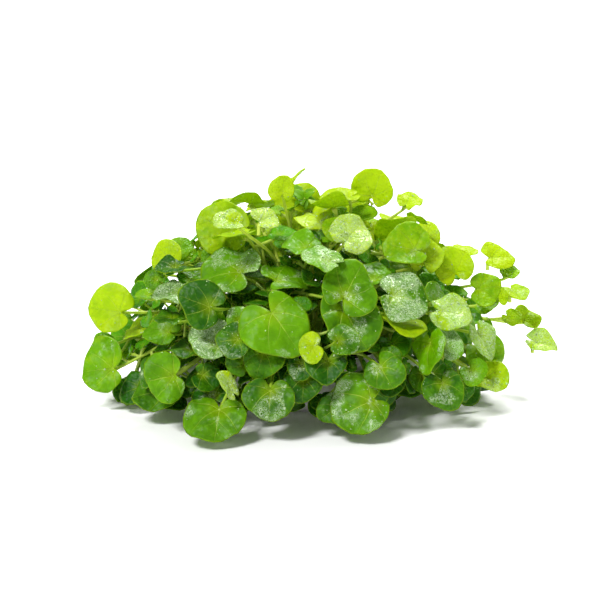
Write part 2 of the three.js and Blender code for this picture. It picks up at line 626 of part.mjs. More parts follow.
// Places every sprout at its first try that is clear.
function growSprouts() {
  const placed = [];
  const free = sown.map(() => Array.from({ length: CLUSTER_ROOM }, (_, slot) => slot));
  const rooted = (leaves, serial) => {
    const top = neckOf(leaves[0]);
    const choices = clustersFor(top).filter(([, i]) => free[i].length).slice(0, CHOICES);
    for (let bend = 0; bend < BENDS; bend += 1)
      for (const [, cluster] of choices) {
        const slot = free[cluster]
          .map((place) => [stemFoot(cluster, place).distanceTo(top), place])
          .sort((a, b) => a[0] - b[0])[0][1];
        const joints = stemJoints(stemFoot(cluster, slot), leaves[0], bendOf(serial, bend));
        const line = linePoints(joints);
        const fork = joints[3].clone().lerp(joints[2], FORK);
        const stalks = leaves.slice(1).map((leaf) => [fork, neckOf(leaf)]);
        for (const stalk of stalks) line.push(...linePoints(stalk));
        const pieces = [[joints[0], joints[1]], [joints[1], joints[2]], [joints[2], joints[3]], ...stalks];
        for (const leaf of leaves) pieces.push([neckOf(leaf), leaf.stalk]);
        const sprout = { leaves, joints, stalks, line, pieces, cluster };
        if (!stemClear(sprout, placed)) continue;
        free[cluster] = free[cluster].filter((other) => other !== slot);
        return sprout;
      }
    return null;
  };
  let grown = 0;
  const place = (serial, tries, makeTry) => {
    for (let attempt = 0; attempt < tries && grown < MOST_LEAVES; attempt += 1) {
      const leaves = makeTry(attempt);
      const sprout = leavesClear(leaves, placed) && rooted(leaves, serial);
      if (!sprout) continue;
      placed.push(sprout);
      grown += leaves.length;
      return;
    }
  };
  SEEN.forEach((_, index) => place(index, SEEN_TRIES, (attempt) => seenSprout(index, attempt)));
  ADDED.forEach(({ count }, group) => {
    for (let index = 0; index < count; index += 1)
      place(1000 * (group + 1) + index, ADDED_TRIES, (attempt) => addedSprout(group, index, attempt));
  });
  return placed;
}

// A closed geometry as a manifold solid.
function solidOf(geometry) {
  const bare = geometry.clone();
  for (const name of ['normal', 'uv']) bare.deleteAttribute(name);
  const merged = mergeVertices(bare, 1e-4);
  return new wasm.Manifold(
    new wasm.Mesh({
      numProp: 3,
      vertProperties: merged.attributes.position.array,
      triVerts: new Uint32Array(merged.index.array),
    }),
  );
}

// A manifold solid as a mesh with a name and a material.
function meshOf(name, solid, material) {
  const { vertProperties, triVerts } = solid.getMesh();
  const geometry = new THREE.BufferGeometry()
    .setAttribute('position', new THREE.BufferAttribute(vertProperties, 3))
    .setIndex(new THREE.BufferAttribute(triVerts, 1));
  geometry.computeVertexNormals();
  const mesh = new THREE.Mesh(geometry, material);
  mesh.name = name;
  return mesh;
}

// A leaf on its stalk as one closed surface: three-sided rings up the stem, the last of them in the blade's
// under face, then the blade's rim below and above, and its upper face in a fan round the stalk's end.
function stalkedLeaf(joints, leaf, radius) {
  const corners = [];
  const faces = [];
  const add = (point) => corners.push(point) - 1;
  const half = BLADE_THICKNESS / 2;
  const path = [...joints, leafPlace(leaf, 0, 0, -half)];
  const last = path.length - 1;
  let front = new THREE.Vector3(0.31, 0.95, 0.02);
  const rings = path.map((point, k) => {
    const along = k === last ? leaf.out : path[k + 1].clone().sub(path[Math.max(k - 1, 0)]).normalize();
    front = front.clone().addScaledVector(along, -front.dot(along)).normalize();
    const side = along.clone().cross(front);
    const size = THREE.MathUtils.lerp(radius, STEM_TIP, k / last);
    return Array.from({ length: STEM_SIDES }, (_, m) => {
      const turn = (2 * Math.PI * m) / STEM_SIDES;
      const corner = point.clone().addScaledVector(front, size * Math.cos(turn));
      return add(corner.addScaledVector(side, size * Math.sin(turn)));
    });
  });
  const wall = (low, high) =>
    low.forEach((_, i) => {
      const j = (i + 1) % low.length;
      faces.push([low[i], low[j], high[j]], [low[i], high[j], high[i]]);
    });
  for (let k = 0; k < last; k += 1) wall(rings[k], rings[k + 1]);
  faces.push([rings[0][0], rings[0][2], rings[0][1]]);
  const rim = leaf.rim.slice(0, -1);
  const [under, over] = [-half, half].map((h) =>
    rim.map((corner) => add(leafPlace(leaf, corner.forward, corner.across, corner.height + h))),
  );
  wall(under, over);
  const top = add(leafPlace(leaf, 0, 0, half));
  over.forEach((corner, i) => faces.push([top, corner, over[(i + 1) % over.length]]));
  const ring = rings[last];
  const ringTurns = ring.map((corner) => {
    const offset = corners[corner].clone().sub(leaf.stalk);
    return Math.atan2(offset.dot(leaf.side), offset.dot(leaf.along));
  });
  const nearest = rim.map(({ turn }) => {
    const apart = ringTurns.map((other) => Math.acos(Math.cos(turn - other)));
    return apart.indexOf(Math.min(...apart));
  });
  under.forEach((corner, i) => {
    const j = (i + 1) % under.length;
    let m = nearest[i];
    faces.push([ring[m], under[j], corner]);
    while (m !== nearest[j]) {
      const following = (m + 1) % STEM_SIDES;
      faces.push([ring[m], ring[following], under[j]]);
      m = following;
    }
  });
  const geometry = new THREE.BufferGeometry().setFromPoints(corners).setIndex(faces.flat());
  return solidOf(geometry);
}

// The root of a cluster, which joins its stems in the soil.
function rootSolid(cluster) {
  const place = sown[cluster];
  const top = soilHeight(place.length()) - ROOT_DEPTH;
  const root = new THREE.CylinderGeometry(ROOT_RADIUS, ROOT_RADIUS * ROOT_TAPER, ROOT_LENGTH, ROOT_SIDES);
  root.rotateX(Math.PI / 2).translate(place.x, place.y, top - ROOT_LENGTH / 2);
  return solidOf(root);
}

// A lathe solid from a profile of [radius, height] points.
function turned(profile, sides) {
  const points = profile.map(([radius, height]) => new THREE.Vector2(radius, height));
  return solidOf(new THREE.LatheGeometry(points, sides).rotateX(Math.PI / 2));
}

const potInner = (z) => THREE.MathUtils.lerp(POT_FOOT_RADIUS, POT_RIM_RADIUS, z / POT_HEIGHT) - POT_WALL;

function potSolid() {
  const foot = POT_FOOT_RADIUS;
  const rim = POT_RIM_RADIUS;
  return turned(
    [
      [0, 0],
      [foot - POT_FOOT_EDGE, 0],
      [foot, POT_FOOT_EDGE],
      [rim - 0.25, POT_HEIGHT - 1],
      [rim - 0.6, POT_HEIGHT - 0.2],
      [rim - POT_WALL / 2, POT_HEIGHT],
      [rim - POT_WALL + 0.2, POT_HEIGHT - 0.6],
      [potInner(POT_FLOOR + POT_CORNER), POT_FLOOR + POT_CORNER],
      [potInner(POT_FLOOR) - POT_CORNER, POT_FLOOR],
      [0, POT_FLOOR],
    ],
    POT_SIDES,
  );
}

function soilSolid() {
  const bottom = POT_FLOOR + SOIL_GAP;
  const side = (z) => potInner(z) - SOIL_GAP;
  const soil = turned(
    [
      [0, bottom],
      [side(bottom) - SOIL_CORNER, bottom],
      [side(bottom + SOIL_CORNER) - SOIL_GAP / 2, bottom + SOIL_CORNER],
      [side(SOIL_EDGE_HEIGHT), SOIL_EDGE_HEIGHT],
      [0, soilHeight(0)],
    ],
    POT_SIDES,
  );
  const length = HOLE_DEPTH + HOLE_ABOVE;
  const holes = sown.map((place) => {
    const top = soilHeight(place.length()) + HOLE_ABOVE;
    const hole = new THREE.CylinderGeometry(HOLE_RADIUS, HOLE_RADIUS, length, HOLE_SIDES);
    hole.rotateX(Math.PI / 2).translate(place.x, place.y, top - length / 2);
    return solidOf(hole);
  });
  return soil.subtract(wasm.Manifold.union(holes));
}

// The whole outer body of a union, without any pocket that its pieces close off.
const wholeBody = (solids) =>
  wasm.Manifold.union(solids)
    .decompose()
    .reduce((most, body) => (body.volume() > most.volume() ? body : most));

// Builds everything and groups it.
function buildPlant() {
  const leafGreen = new THREE.MeshStandardMaterial({ color: 0x5fae1e, roughness: 0.45, metalness: 0 });
  const potWhite = new THREE.MeshStandardMaterial({ color: 0xf2f1ee, roughness: 0.35, metalness: 0 });
  const soilBrown = new THREE.MeshStandardMaterial({ color: 0x33261b, roughness: 0.95, metalness: 0 });
  const plant = new THREE.Group();
  plant.add(meshOf('pot', potSolid(), potWhite), meshOf('soil', soilSolid(), soilBrown));
  const placed = growSprouts();
  sown.forEach((_, cluster) => {
    const sprouts = placed.filter((sprout) => sprout.cluster === cluster);
    if (!sprouts.length) return;
    const solids = [rootSolid(cluster)];
    for (const { joints, leaves, stalks } of sprouts) {
      solids.push(stalkedLeaf(joints, leaves[0], STEM_RADIUS));
      stalks.forEach((stalk, i) => solids.push(stalkedLeaf(stalk, leaves[i + 1], STEM_TIP)));
    }
    const name = 'sprouts_' + String(cluster + 1).padStart(2, '0');
    plant.add(meshOf(name, wholeBody(solids), leafGreen));
  });
  return plant;
}

export default buildPlant();
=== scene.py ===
"""Potted broccoli microgreens.

A dense mound of wet young greens flops over the rim of a low white pot.
"""

import logging
import math
import random
from dataclasses import dataclass, field, replace
from enum import Enum

import bmesh
import bpy
import numpy as np
from mathutils import Matrix, Vector, noise
from mathutils.bvhtree import BVHTree

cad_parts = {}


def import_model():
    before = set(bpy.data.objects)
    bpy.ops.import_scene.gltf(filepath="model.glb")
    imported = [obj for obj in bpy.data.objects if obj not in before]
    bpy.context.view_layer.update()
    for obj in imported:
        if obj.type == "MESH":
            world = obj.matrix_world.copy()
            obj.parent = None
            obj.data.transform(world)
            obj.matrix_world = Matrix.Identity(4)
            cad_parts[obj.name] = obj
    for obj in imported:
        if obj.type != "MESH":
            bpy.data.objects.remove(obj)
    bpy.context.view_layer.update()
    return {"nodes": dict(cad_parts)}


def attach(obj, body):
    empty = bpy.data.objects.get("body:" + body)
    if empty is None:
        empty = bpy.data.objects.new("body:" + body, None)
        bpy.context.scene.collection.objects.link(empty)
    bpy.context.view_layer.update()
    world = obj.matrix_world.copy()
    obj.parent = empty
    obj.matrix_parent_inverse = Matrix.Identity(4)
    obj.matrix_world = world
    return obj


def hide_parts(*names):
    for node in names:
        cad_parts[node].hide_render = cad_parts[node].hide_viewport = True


LOG = logging.getLogger("microgreens")
MM = 0.001
UP = np.array((0.0, 0.0, 1.0))

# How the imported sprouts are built, in millimetres: their blades' thickness and rim corners, the rings of a
# stem, the shares and angles that shape an outline, and where the stalks of a pair fork.
SOLID_THICKNESS = 0.64
RIM_COUNTS = (8, 10)
RING_CORNERS = 3
SHORTEST_RING_EDGE = 0.7
BLADE_MIDDLE = 0.2
STALK_INSET = 0.8
NOTCH_SPREAD = 0.26
NOTCH_CROWDING = 0.46
TIP_SPREAD = 0.5
WAVE_SPREAD = 0.6
FOOT_LENGTH = 2.6
FORK_SHARE = 0.08

# How they are read back: which corners count as one, and how many rounds fit an outline.
MERGE_DISTANCE = 0.003
FIT_ROUNDS = 4

# The fine blades and stems, in millimetres, radians and shares of a blade's width.
HALF_BLADE = 0.2
RIM_ROUNDING = 5
VEIN_SPACING = 0.98
VEIN_BOW = 0.55
LOBE_SPREAD = 0.55
DIMPLE_SPREAD = 1.25
SHORTEST_NORMAL = 1e-7
STEM_RINGS = 24
STALK_RINGS = 8
STEM_RADII = (0.54, 0.4)
STALK_RADII = (0.42, 0.36)
FLARE_WIDTH = 0.5
FLARE_LENGTH = 1.1

# Which of a green piece's materials its blades and its stems take.
BLADE_SLOT = 0
STEM_SLOT = 1

Array = np.ndarray
Colour = tuple[float, float, float]
Material = bpy.types.Material
Piece = bpy.types.Object
Socket = bpy.types.NodeSocket
Span = tuple[float, float]
Vert = bmesh.types.BMVert


def unit(vector: Array) -> Array:
    """The vector at length 1."""
    return vector / max(float(np.linalg.norm(vector)), 1e-9)


def crowded(angle: Array | float) -> Array | float:
    """Crowds evenly spaced angles round a blade towards its notch, where the outline turns most."""
    return angle + NOTCH_CROWDING * np.sin(angle)


def eased(value: float, low: float, high: float) -> float:
    """How far a value has come from low to high, from 0 to 1."""
    return min(1.0, max(0.0, (value - low) / (high - low)))


def placed(name: str, data: bpy.types.ID) -> Piece:
    """Makes an object.

    Args:
        name: its name.
        data: its mesh, light or camera.

    Returns:
        The object, in the scene.
    """
    thing = bpy.data.objects.new(name, data)
    bpy.context.scene.collection.objects.link(thing)
    return thing


@dataclass(frozen=True)
class Gain:
    """How much painted light one part of the mound gets, and the stretches in millimetres where it grows."""

    most: float
    stretches: tuple[Span, ...]

    def at(self, *places: float) -> float:
        """The gain at places along the stretches."""
        return self.most * math.prod(eased(place, *ends) for place, ends in zip(places, self.stretches))


@dataclass(frozen=True)
class FrontView:
    """The photograph's viewpoint, in millimetres and degrees, and the greens' painted light and shade."""

    distance: float = 520.0
    elevation: float = 15.0
    height: float = 26.0
    lens: float = 109.2
    sensor: float = 36.0
    nearest: float = 0.01
    farthest: float = 20.0
    # Painted light: a base level, raised on the wings, the right, the top and behind; painted shade low
    # down.
    level: float = 0.26
    wings: Gain = Gain(0.4, ((30, 54), (-30, -8)))
    right: Gain = Gain(0.12, ((12, 32), (-24, -8)))
    low: Gain = Gain(-0.15, ((-10, -30),))
    top: Gain = Gain(0.7, ((7, 23),))
    rear: Gain = Gain(0.25, ((5, 35),))

    @property
    def back(self) -> Array:
        """The direction from the mound to the viewer."""
        tilt = math.radians(self.elevation)
        return np.array((0.0, -math.cos(tilt), math.sin(tilt)))

    @property
    def up(self) -> Array:
        """The view's upward direction."""
        tilt = math.radians(self.elevation)
        return np.array((0.0, math.sin(tilt), math.cos(tilt)))

    def place(self, point: Array) -> tuple[float, float, float]:
        """Where a point shows in the view.

        Args:
            point: a place in millimetres.

        Returns:
            How far right and above the view's middle it shows, at the middle's own distance, and its depth.
        """
        offset = point - self.height * UP
        depth = self.distance - float(offset @ self.back)
        scale = self.distance / depth
        return float(offset[0]) * scale, float(offset @ self.up) * scale, depth

    def brightness(self, point: Array) -> float:
        """Painted light in the greens: most at the top, on the two wings and behind; painted shade low down.

        Args:
            point: a place in millimetres.

        Returns:
            The painted light, from 0 to 1 over most of the mound.
        """
        across, above, _ = self.place(point)
        ends = self.wings.at(abs(float(point[0])), above) + self.right.at(across, above)
        return self.level + ends + self.low.at(above) + self.top.at(above) + self.rear.at(float(point[1]))

    def make_camera(self) -> Piece:
        """Makes the scene's camera.

        Returns:
            The camera.
        """
        data = bpy.data.cameras.new("front_camera")
        data.lens = self.lens
        data.sensor_width = self.sensor
        data.clip_start = self.nearest
        data.clip_end = self.farthest
        camera = placed("front_camera", data)
        camera.location = Vector((self.back * self.distance + self.height * UP) * MM)
        camera.rotation_euler = Vector(-self.back).to_track_quat("-Z", "Y").to_euler()
        bpy.context.scene.camera = camera
        return camera


@dataclass
class BladeForm:
    """The outline and the curved surface of one blade, in millimetres and shares of its width."""

    width: float
    ratio: float
    tip: float
    skew: float
    cup: float
    fold: float
    wave_sine: float
    wave_cosine: float

    def outline(self, angle: Array, notch_spread: float = NOTCH_SPREAD) -> tuple[Array, Array]:
        """The outline's place at angles from the tip round the blade's middle.

        Args:
            angle: angles in radians, with the notch at plus and minus a half turn.
            notch_spread: how wide the notch opens, as an angle.

        Returns:
            How far forward of the stalk's end, and how far across, the outline lies.
        """
        from_notch = math.pi - np.abs(angle)
        notch = 0.5 - BLADE_MIDDLE / self.ratio
        reach = 0.5 + self.tip * np.exp(-((angle / TIP_SPREAD) ** 2)) + self.skew * np.sin(angle)
        reach = reach - notch * np.exp(-((from_notch / notch_spread) ** 2))
        forward = (BLADE_MIDDLE + reach * self.ratio * np.cos(angle)) * self.width - STALK_INSET
        return forward, reach * np.sin(angle) * self.width

    def lift(self, angle: Array, share: Array) -> Array:
        """The surface's height over the blade's plane.

        Args:
            angle: angles round the blade.
            share: shares of the way from the stalk's end to the outline.

        Returns:
            The heights, in millimetres.
        """
        forward, across = self.outline(angle)
        reach = np.hypot(forward, across)
        bend = share**1.5
        from_notch = math.pi - np.abs(angle)
        still = 1 - np.exp(-((from_notch / WAVE_SPREAD) ** 2))
        wave = self.wave_sine * np.sin(3 * angle) + self.wave_cosine * np.cos(3 * angle)
        return (
            -self.cup * reach * reach / self.width * bend
            + self.fold * share * np.abs(across)
            + self.width * still * wave * share**2
        )


@dataclass
class Relief:
    """How far one blade departs from its plain form: depths are shares of its width, or millimetres."""

    ruffles: int = 5
    teeth: int = 11
    phase: float = 0.0
    ruffle_depth: float = 0.012
    tooth_depth: float = 0.01
    swell_depth: float = 0.012
    swell_turn: float = 0.0
    sway: float = 0.03
    lobe_twist: float = 0.05
    facet_depth: float = 0.02
    notch_spread: float = 0.2
    dimple: float = 0.7

    @classmethod
    def drawn(cls, draw: random.Random, dimple: float) -> "Relief":
        """Draws the relief of one blade.

        Args:
            draw: the stream of draws.
            dimple: how deep the blade sinks into its stalk, in millimetres.

        Returns:
            The relief.
        """
        return cls(
            ruffles=draw.choice((4, 5, 6, 7)),
            teeth=draw.choice((9, 11, 13)),
            phase=draw.uniform(0, 2 * math.pi),
            ruffle_depth=draw.uniform(0.01, 0.036),
            tooth_depth=draw.uniform(0.002, 0.014),
            swell_depth=draw.uniform(0.01, 0.024),
            swell_turn=draw.uniform(0, math.pi),
            sway=draw.uniform(0.015, 0.06),
            lobe_twist=draw.uniform(-0.2, 0.2),
            facet_depth=draw.uniform(0.016, 0.05),
            notch_spread=draw.uniform(0.16, 0.3),
            dimple=dimple,
        )

    def height(self, angle: Array, share: Array, forward: Array, across: Array) -> Array:
        """The relief's height over the plain form.

        Args:
            angle: angles round the blade.
            share: shares of the way from the stalk's end to the outline.
            forward: the places forward of the stalk's end, in shares of the width.
            across: the places across the blade, in shares of the width.

        Returns:
            The heights, in shares of the width.
        """
        turned = np.abs(np.arctan2(across, forward)) + VEIN_BOW * np.hypot(forward, across)
        off_vein = np.abs((turned / VEIN_SPACING + 0.5) % 1.0 - 0.5)
        facets = share * np.sin(math.pi * off_vein)
        from_notch = (math.pi - np.abs(angle)) / LOBE_SPREAD
        lobes = np.sign(angle) * from_notch * np.exp(-(from_notch**2)) * share**2
        way = across * math.cos(self.swell_turn) + forward * math.sin(self.swell_turn)
        swell = share * np.sin(14 * way + self.phase)
        swell = swell + 0.6 * share * np.sin(23 * (forward - way) + 2 * self.phase)
        ruffle = share**3 * np.sin(self.ruffles * angle + self.phase)
        soft = self.lobe_twist * lobes + self.swell_depth * swell + self.ruffle_depth * ruffle
        return soft + self.facet_depth * facets


@dataclass
class Leaf:
    """One blade, where it stands, the line of its stem, and how it looks."""

    stalk: Array
    along: Array
    side: Array
    out: Array
    form: BladeForm
    stem: list[Array] = field(default_factory=list)
    main_stem: bool = True
    node: str = ""
    # The tint is painted light and shade for where the leaf stands, with some tone at random.
    tint: float = 0.4
    wet: float = 0.3
    relief: Relief = field(default_factory=Relief)

    @property
    def middle(self) -> Array:
        """The middle of the blade."""
        return self.stalk + self.along * (BLADE_MIDDLE * self.form.width - STALK_INSET)

    def surface(self, angle: Array, share: Array) -> Array:
        """Points of the blade's middle surface.

        Args:
            angle: angles round the blade.
            share: shares of the way from the stalk's end to the outline.

        Returns:
            One point for each angle, in millimetres.
        """
        width = self.form.width
        forward, across = self.place(angle, share)
        height = self.form.lift(angle, share)
        height = height + width * self.relief.height(angle, share, forward / width, across / width)
        height = height - self.relief.dimple * np.exp(-((np.hypot(forward, across) / DIMPLE_SPREAD) ** 2))
        flat = self.stalk + np.outer(forward, self.along) + np.outer(across, self.side)
        return flat + np.outer(height, self.out)

    def place(self, angle: Array, share: Array) -> tuple[Array, Array]:
        """Where in the blade's plane the surface's points lie.

        Args:
            angle: angles round the blade.
            share: shares of the way from the stalk's end to the outline.

        Returns:
            How far forward of the stalk's end, and how far across the blade, they lie.
        """
        relief = self.relief
        forward, across = self.form.outline(angle, relief.notch_spread)
        sway = np.sin(2 * angle + relief.phase), np.sin(3 * angle - relief.phase)
        swayed = 1 + relief.sway * sway[0] + relief.sway * sway[1]
        toothed = 1 + relief.tooth_depth * np.sin(relief.teeth * angle + relief.phase) * share**4
        return forward * share * swayed * toothed, across * share * swayed * toothed

    def normals(self, angle: Array, share: Array) -> Array:
        """The upper face's directions at the places where surface gives points.

        Args:
            angle: angles round the blade.
            share: shares of the way from the stalk's end to the outline.

        Returns:
            One direction of length 1 for each angle.
        """
        turn_step = 0.02
        share_step = 0.02
        inner = np.maximum(share - share_step, share_step / 2)
        round_way = self.surface(angle + turn_step, share) - self.surface(angle - turn_step, share)
        out_way = self.surface(angle, np.maximum(share, 1.5 * share_step)) - self.surface(angle, inner)
        normal = np.cross(out_way, round_way)
        length = np.linalg.norm(normal, axis=1, keepdims=True)
        normal = np.where(length > SHORTEST_NORMAL, normal / np.maximum(length, SHORTEST_NORMAL), self.out)
        return np.where((normal @ self.out)[:, None] < 0, -normal, normal)


class SproutReader:
    """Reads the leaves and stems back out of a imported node, so that the fine pieces keep their form."""

    def __init__(self, name: str, source: Piece) -> None:
        """Copies the node's mesh, in millimetres, with its corners joined.

        Args:
            name: the node's name.
            source: the node's object.
        """
        self.name = name
        self.bm = bmesh.new()
        self.bm.from_mesh(source.data)
        bmesh.ops.scale(self.bm, vec=(1 / MM,) * 3, verts=self.bm.verts)
        bmesh.ops.remove_doubles(self.bm, verts=self.bm.verts, dist=MERGE_DISTANCE)

    def leaves(self) -> list[Leaf]:
        """Finds every blade in the node, with its stem.

        Returns:
            The leaves.
        """
        found = []
        for vert in self.bm.verts:
            partners = self._partners(vert)
            if partners:
                found.append(self._leaf(vert, partners))
        self._fork_pairs([leaf for leaf, rings in found], [rings for leaf, rings in found])
        self.bm.free()
        return [leaf for leaf, rings in found]

    def _partners(self, hub: Vert) -> dict:
        """Pairs the rim corners round a hub with the corners under them.

        Args:
            hub: a corner that may stand over a stalk's end.

        Returns:
            Each upper corner with the one under it, or nothing if this is no blade's hub.
        """
        rim = {edge.other_vert(hub) for edge in hub.link_edges}
        partners = {}
        if len(rim) not in RIM_COUNTS:
            return partners
        for corner in rim:
            for edge in corner.link_edges:
                other = edge.other_vert(corner)
                apart = abs((other.co - corner.co).length - SOLID_THICKNESS)
                if other is not hub and other not in rim and apart < 0.01:
                    partners[corner] = other
        return partners if len(partners) == len(rim) else {}

    def _leaf(self, hub: Vert, partners: dict) -> tuple[Leaf, list]:
        """Measures one blade and walks down its stem.

        Args:
            hub: the corner over the stalk's end.
            partners: each upper rim corner with the corner under it.

        Returns:
            The leaf and the rings of corners found down its stem.
        """
        offsets = [np.array(upper.co - lower.co) for upper, lower in partners.items()]
        out = unit(np.mean(offsets, axis=0))
        stalk = np.array(hub.co) - out * SOLID_THICKNESS / 2
        loop = self._loop(hub, partners)
        notch = min(range(len(loop)), key=lambda i: (loop[i].co - hub.co).length)
        loop = loop[notch:] + loop[:notch]
        back = np.array(loop[0].co) - np.array(hub.co)
        along = unit(-(back - out * (back @ out)))
        side = np.cross(out, along)
        flat = np.array([np.array(corner.co) - np.array(hub.co) for corner in loop])
        if flat[1] @ side > 0:
            loop = [loop[0]] + loop[:0:-1]
            flat = np.concatenate((flat[:1], flat[:0:-1]))
        form = self._form(flat @ along, flat @ side, flat @ out)
        rings = self._rings(set(partners.values()), set(partners) | {hub})
        centres = [np.mean([np.array(v.co) for v in ring], axis=0) for ring in rings]
        leaf = Leaf(stalk, along, side, out, form, stem=centres, node=self.name)
        return leaf, rings

    @staticmethod
    def _loop(hub: Vert, partners: dict) -> list:
        """Puts the upper rim's corners in order round the hub.

        Args:
            hub: the corner over the stalk's end.
            partners: each upper rim corner with the corner under it.

        Returns:
            The upper corners.
        """
        following = {}
        for face in hub.link_faces:
            corners = list(face.verts)
            place = corners.index(hub)
            following[corners[(place + 1) % 3]] = corners[(place + 2) % 3]
        loop = [next(iter(partners))]
        while len(loop) < len(partners):
            loop.append(following[loop[-1]])
        return loop

    @staticmethod
    def _form(forward: Array, across: Array, height: Array) -> BladeForm:
        """Fits a blade's form to its rim corners, which are measured from the stalk's end.

        Args:
            forward: how far towards the tip each corner lies.
            across: how far across the blade it lies.
            height: how far over the blade's plane it lies.

        Returns:
            The form.
        """
        count = len(forward)
        angle = crowded(2 * math.pi * np.arange(count) / count - math.pi)
        near = np.exp(-(((math.pi - np.abs(angle)) / NOTCH_SPREAD) ** 2))
        tipward = np.exp(-((angle / TIP_SPREAD) ** 2))
        sine = np.sin(angle)
        front = count // 2
        beside = [front - 1, front + 1]
        ratio = 1.0
        for _ in range(FIT_ROUNDS):
            columns = (0.5 * (1 - near) + BLADE_MIDDLE * near / ratio, tipward, sine)
            system = np.stack([column * sine for column in columns], axis=1)
            width, _, skew = np.linalg.lstsq(system, across, rcond=None)[0]
            lengthwise = forward + STALK_INSET - BLADE_MIDDLE * width
            ratio = float(np.mean(lengthwise[beside] / np.cos(angle[beside]))) / (0.5 * width)
        tip = lengthwise[front] / (ratio * width) - 0.5
        still = 1 - np.exp(-(((math.pi - np.abs(angle)) / WAVE_SPREAD) ** 2))
        reach = np.hypot(forward, across)
        waves = (width * still * np.sin(3 * angle), width * still * np.cos(3 * angle))
        system = np.stack((-(reach**2) / width, np.abs(across), *waves), axis=1)
        cup, fold, wave_sine, wave_cosine = np.linalg.lstsq(system, height, rcond=None)[0]
        return BladeForm(width, ratio, tip, skew / width, cup, fold, wave_sine, wave_cosine)

    def _rings(self, under: set, above: set) -> list:
        """Walks from a blade down its stem, ring by ring, as far as rings go.

        Args:
            under: the corners of the blade's lower face.
            above: the corners of its upper face.

        Returns:
            The rings of corners.
        """
        seen = under | above
        ring = self._beside(under, seen)
        rings = []
        while ring:
            if len(ring) != RING_CORNERS:
                ring = self._ring_among(ring) or self._ring_among(self._beside(ring, seen | ring))
            if not ring:
                break
            rings.append(ring)
            seen |= ring
            ring = self._beside(ring, seen)
        return rings

    @staticmethod
    def _beside(corners: set, seen: set) -> set:
        """The corners that share an edge with the given ones and haven't been seen."""
        return {edge.other_vert(corner) for corner in corners for edge in corner.link_edges} - seen

    @staticmethod
    def _ring_among(corners: set) -> set:
        """Finds a stem's ring: three corners that share edges and have no face of their own.

        Args:
            corners: where it is looked for.

        Returns:
            The lowest such ring, or nothing.
        """
        best = set()
        for a in corners:
            near = [e.other_vert(a) for e in a.link_edges if e.other_vert(a) in corners]
            for b in near:
                for c in near:
                    if c is b or not any(e.other_vert(b) is c for e in b.link_edges):
                        continue
                    faced = any(b in f.verts and c in f.verts for f in a.link_faces)
                    long_enough = min((a.co - b.co).length, (b.co - c.co).length) > SHORTEST_RING_EDGE
                    lower = not best or a.co.z < min(v.co.z for v in best)
                    if not faced and long_enough and lower:
                        best = {a, b, c}
        return best

    @staticmethod
    def _fork_pairs(leaves: list[Leaf], rings: list) -> None:
        """Gives each stem its foot, and turns the second stem of a pair into a stalk from the fork.

        Args:
            leaves: the node's leaves.
            rings: each leaf's rings of corners.
        """
        by_low = {}
        for leaf, own in zip(leaves, rings):
            low = own[-1]
            key = frozenset(v.index for v in low) if len(own) > 2 else None
            if key is not None and key in by_low:
                first = by_low[key]
                fork = first.stem[1] + (first.stem[2] - first.stem[1]) * FORK_SHARE
                leaf.stem = [leaf.stem[0], leaf.stem[1], fork]
                leaf.main_stem = False
            else:
                by_low[key] = leaf
                leaf.stem = leaf.stem + [leaf.stem[-1] - FOOT_LENGTH * UP]
            leaf.stem.reverse()


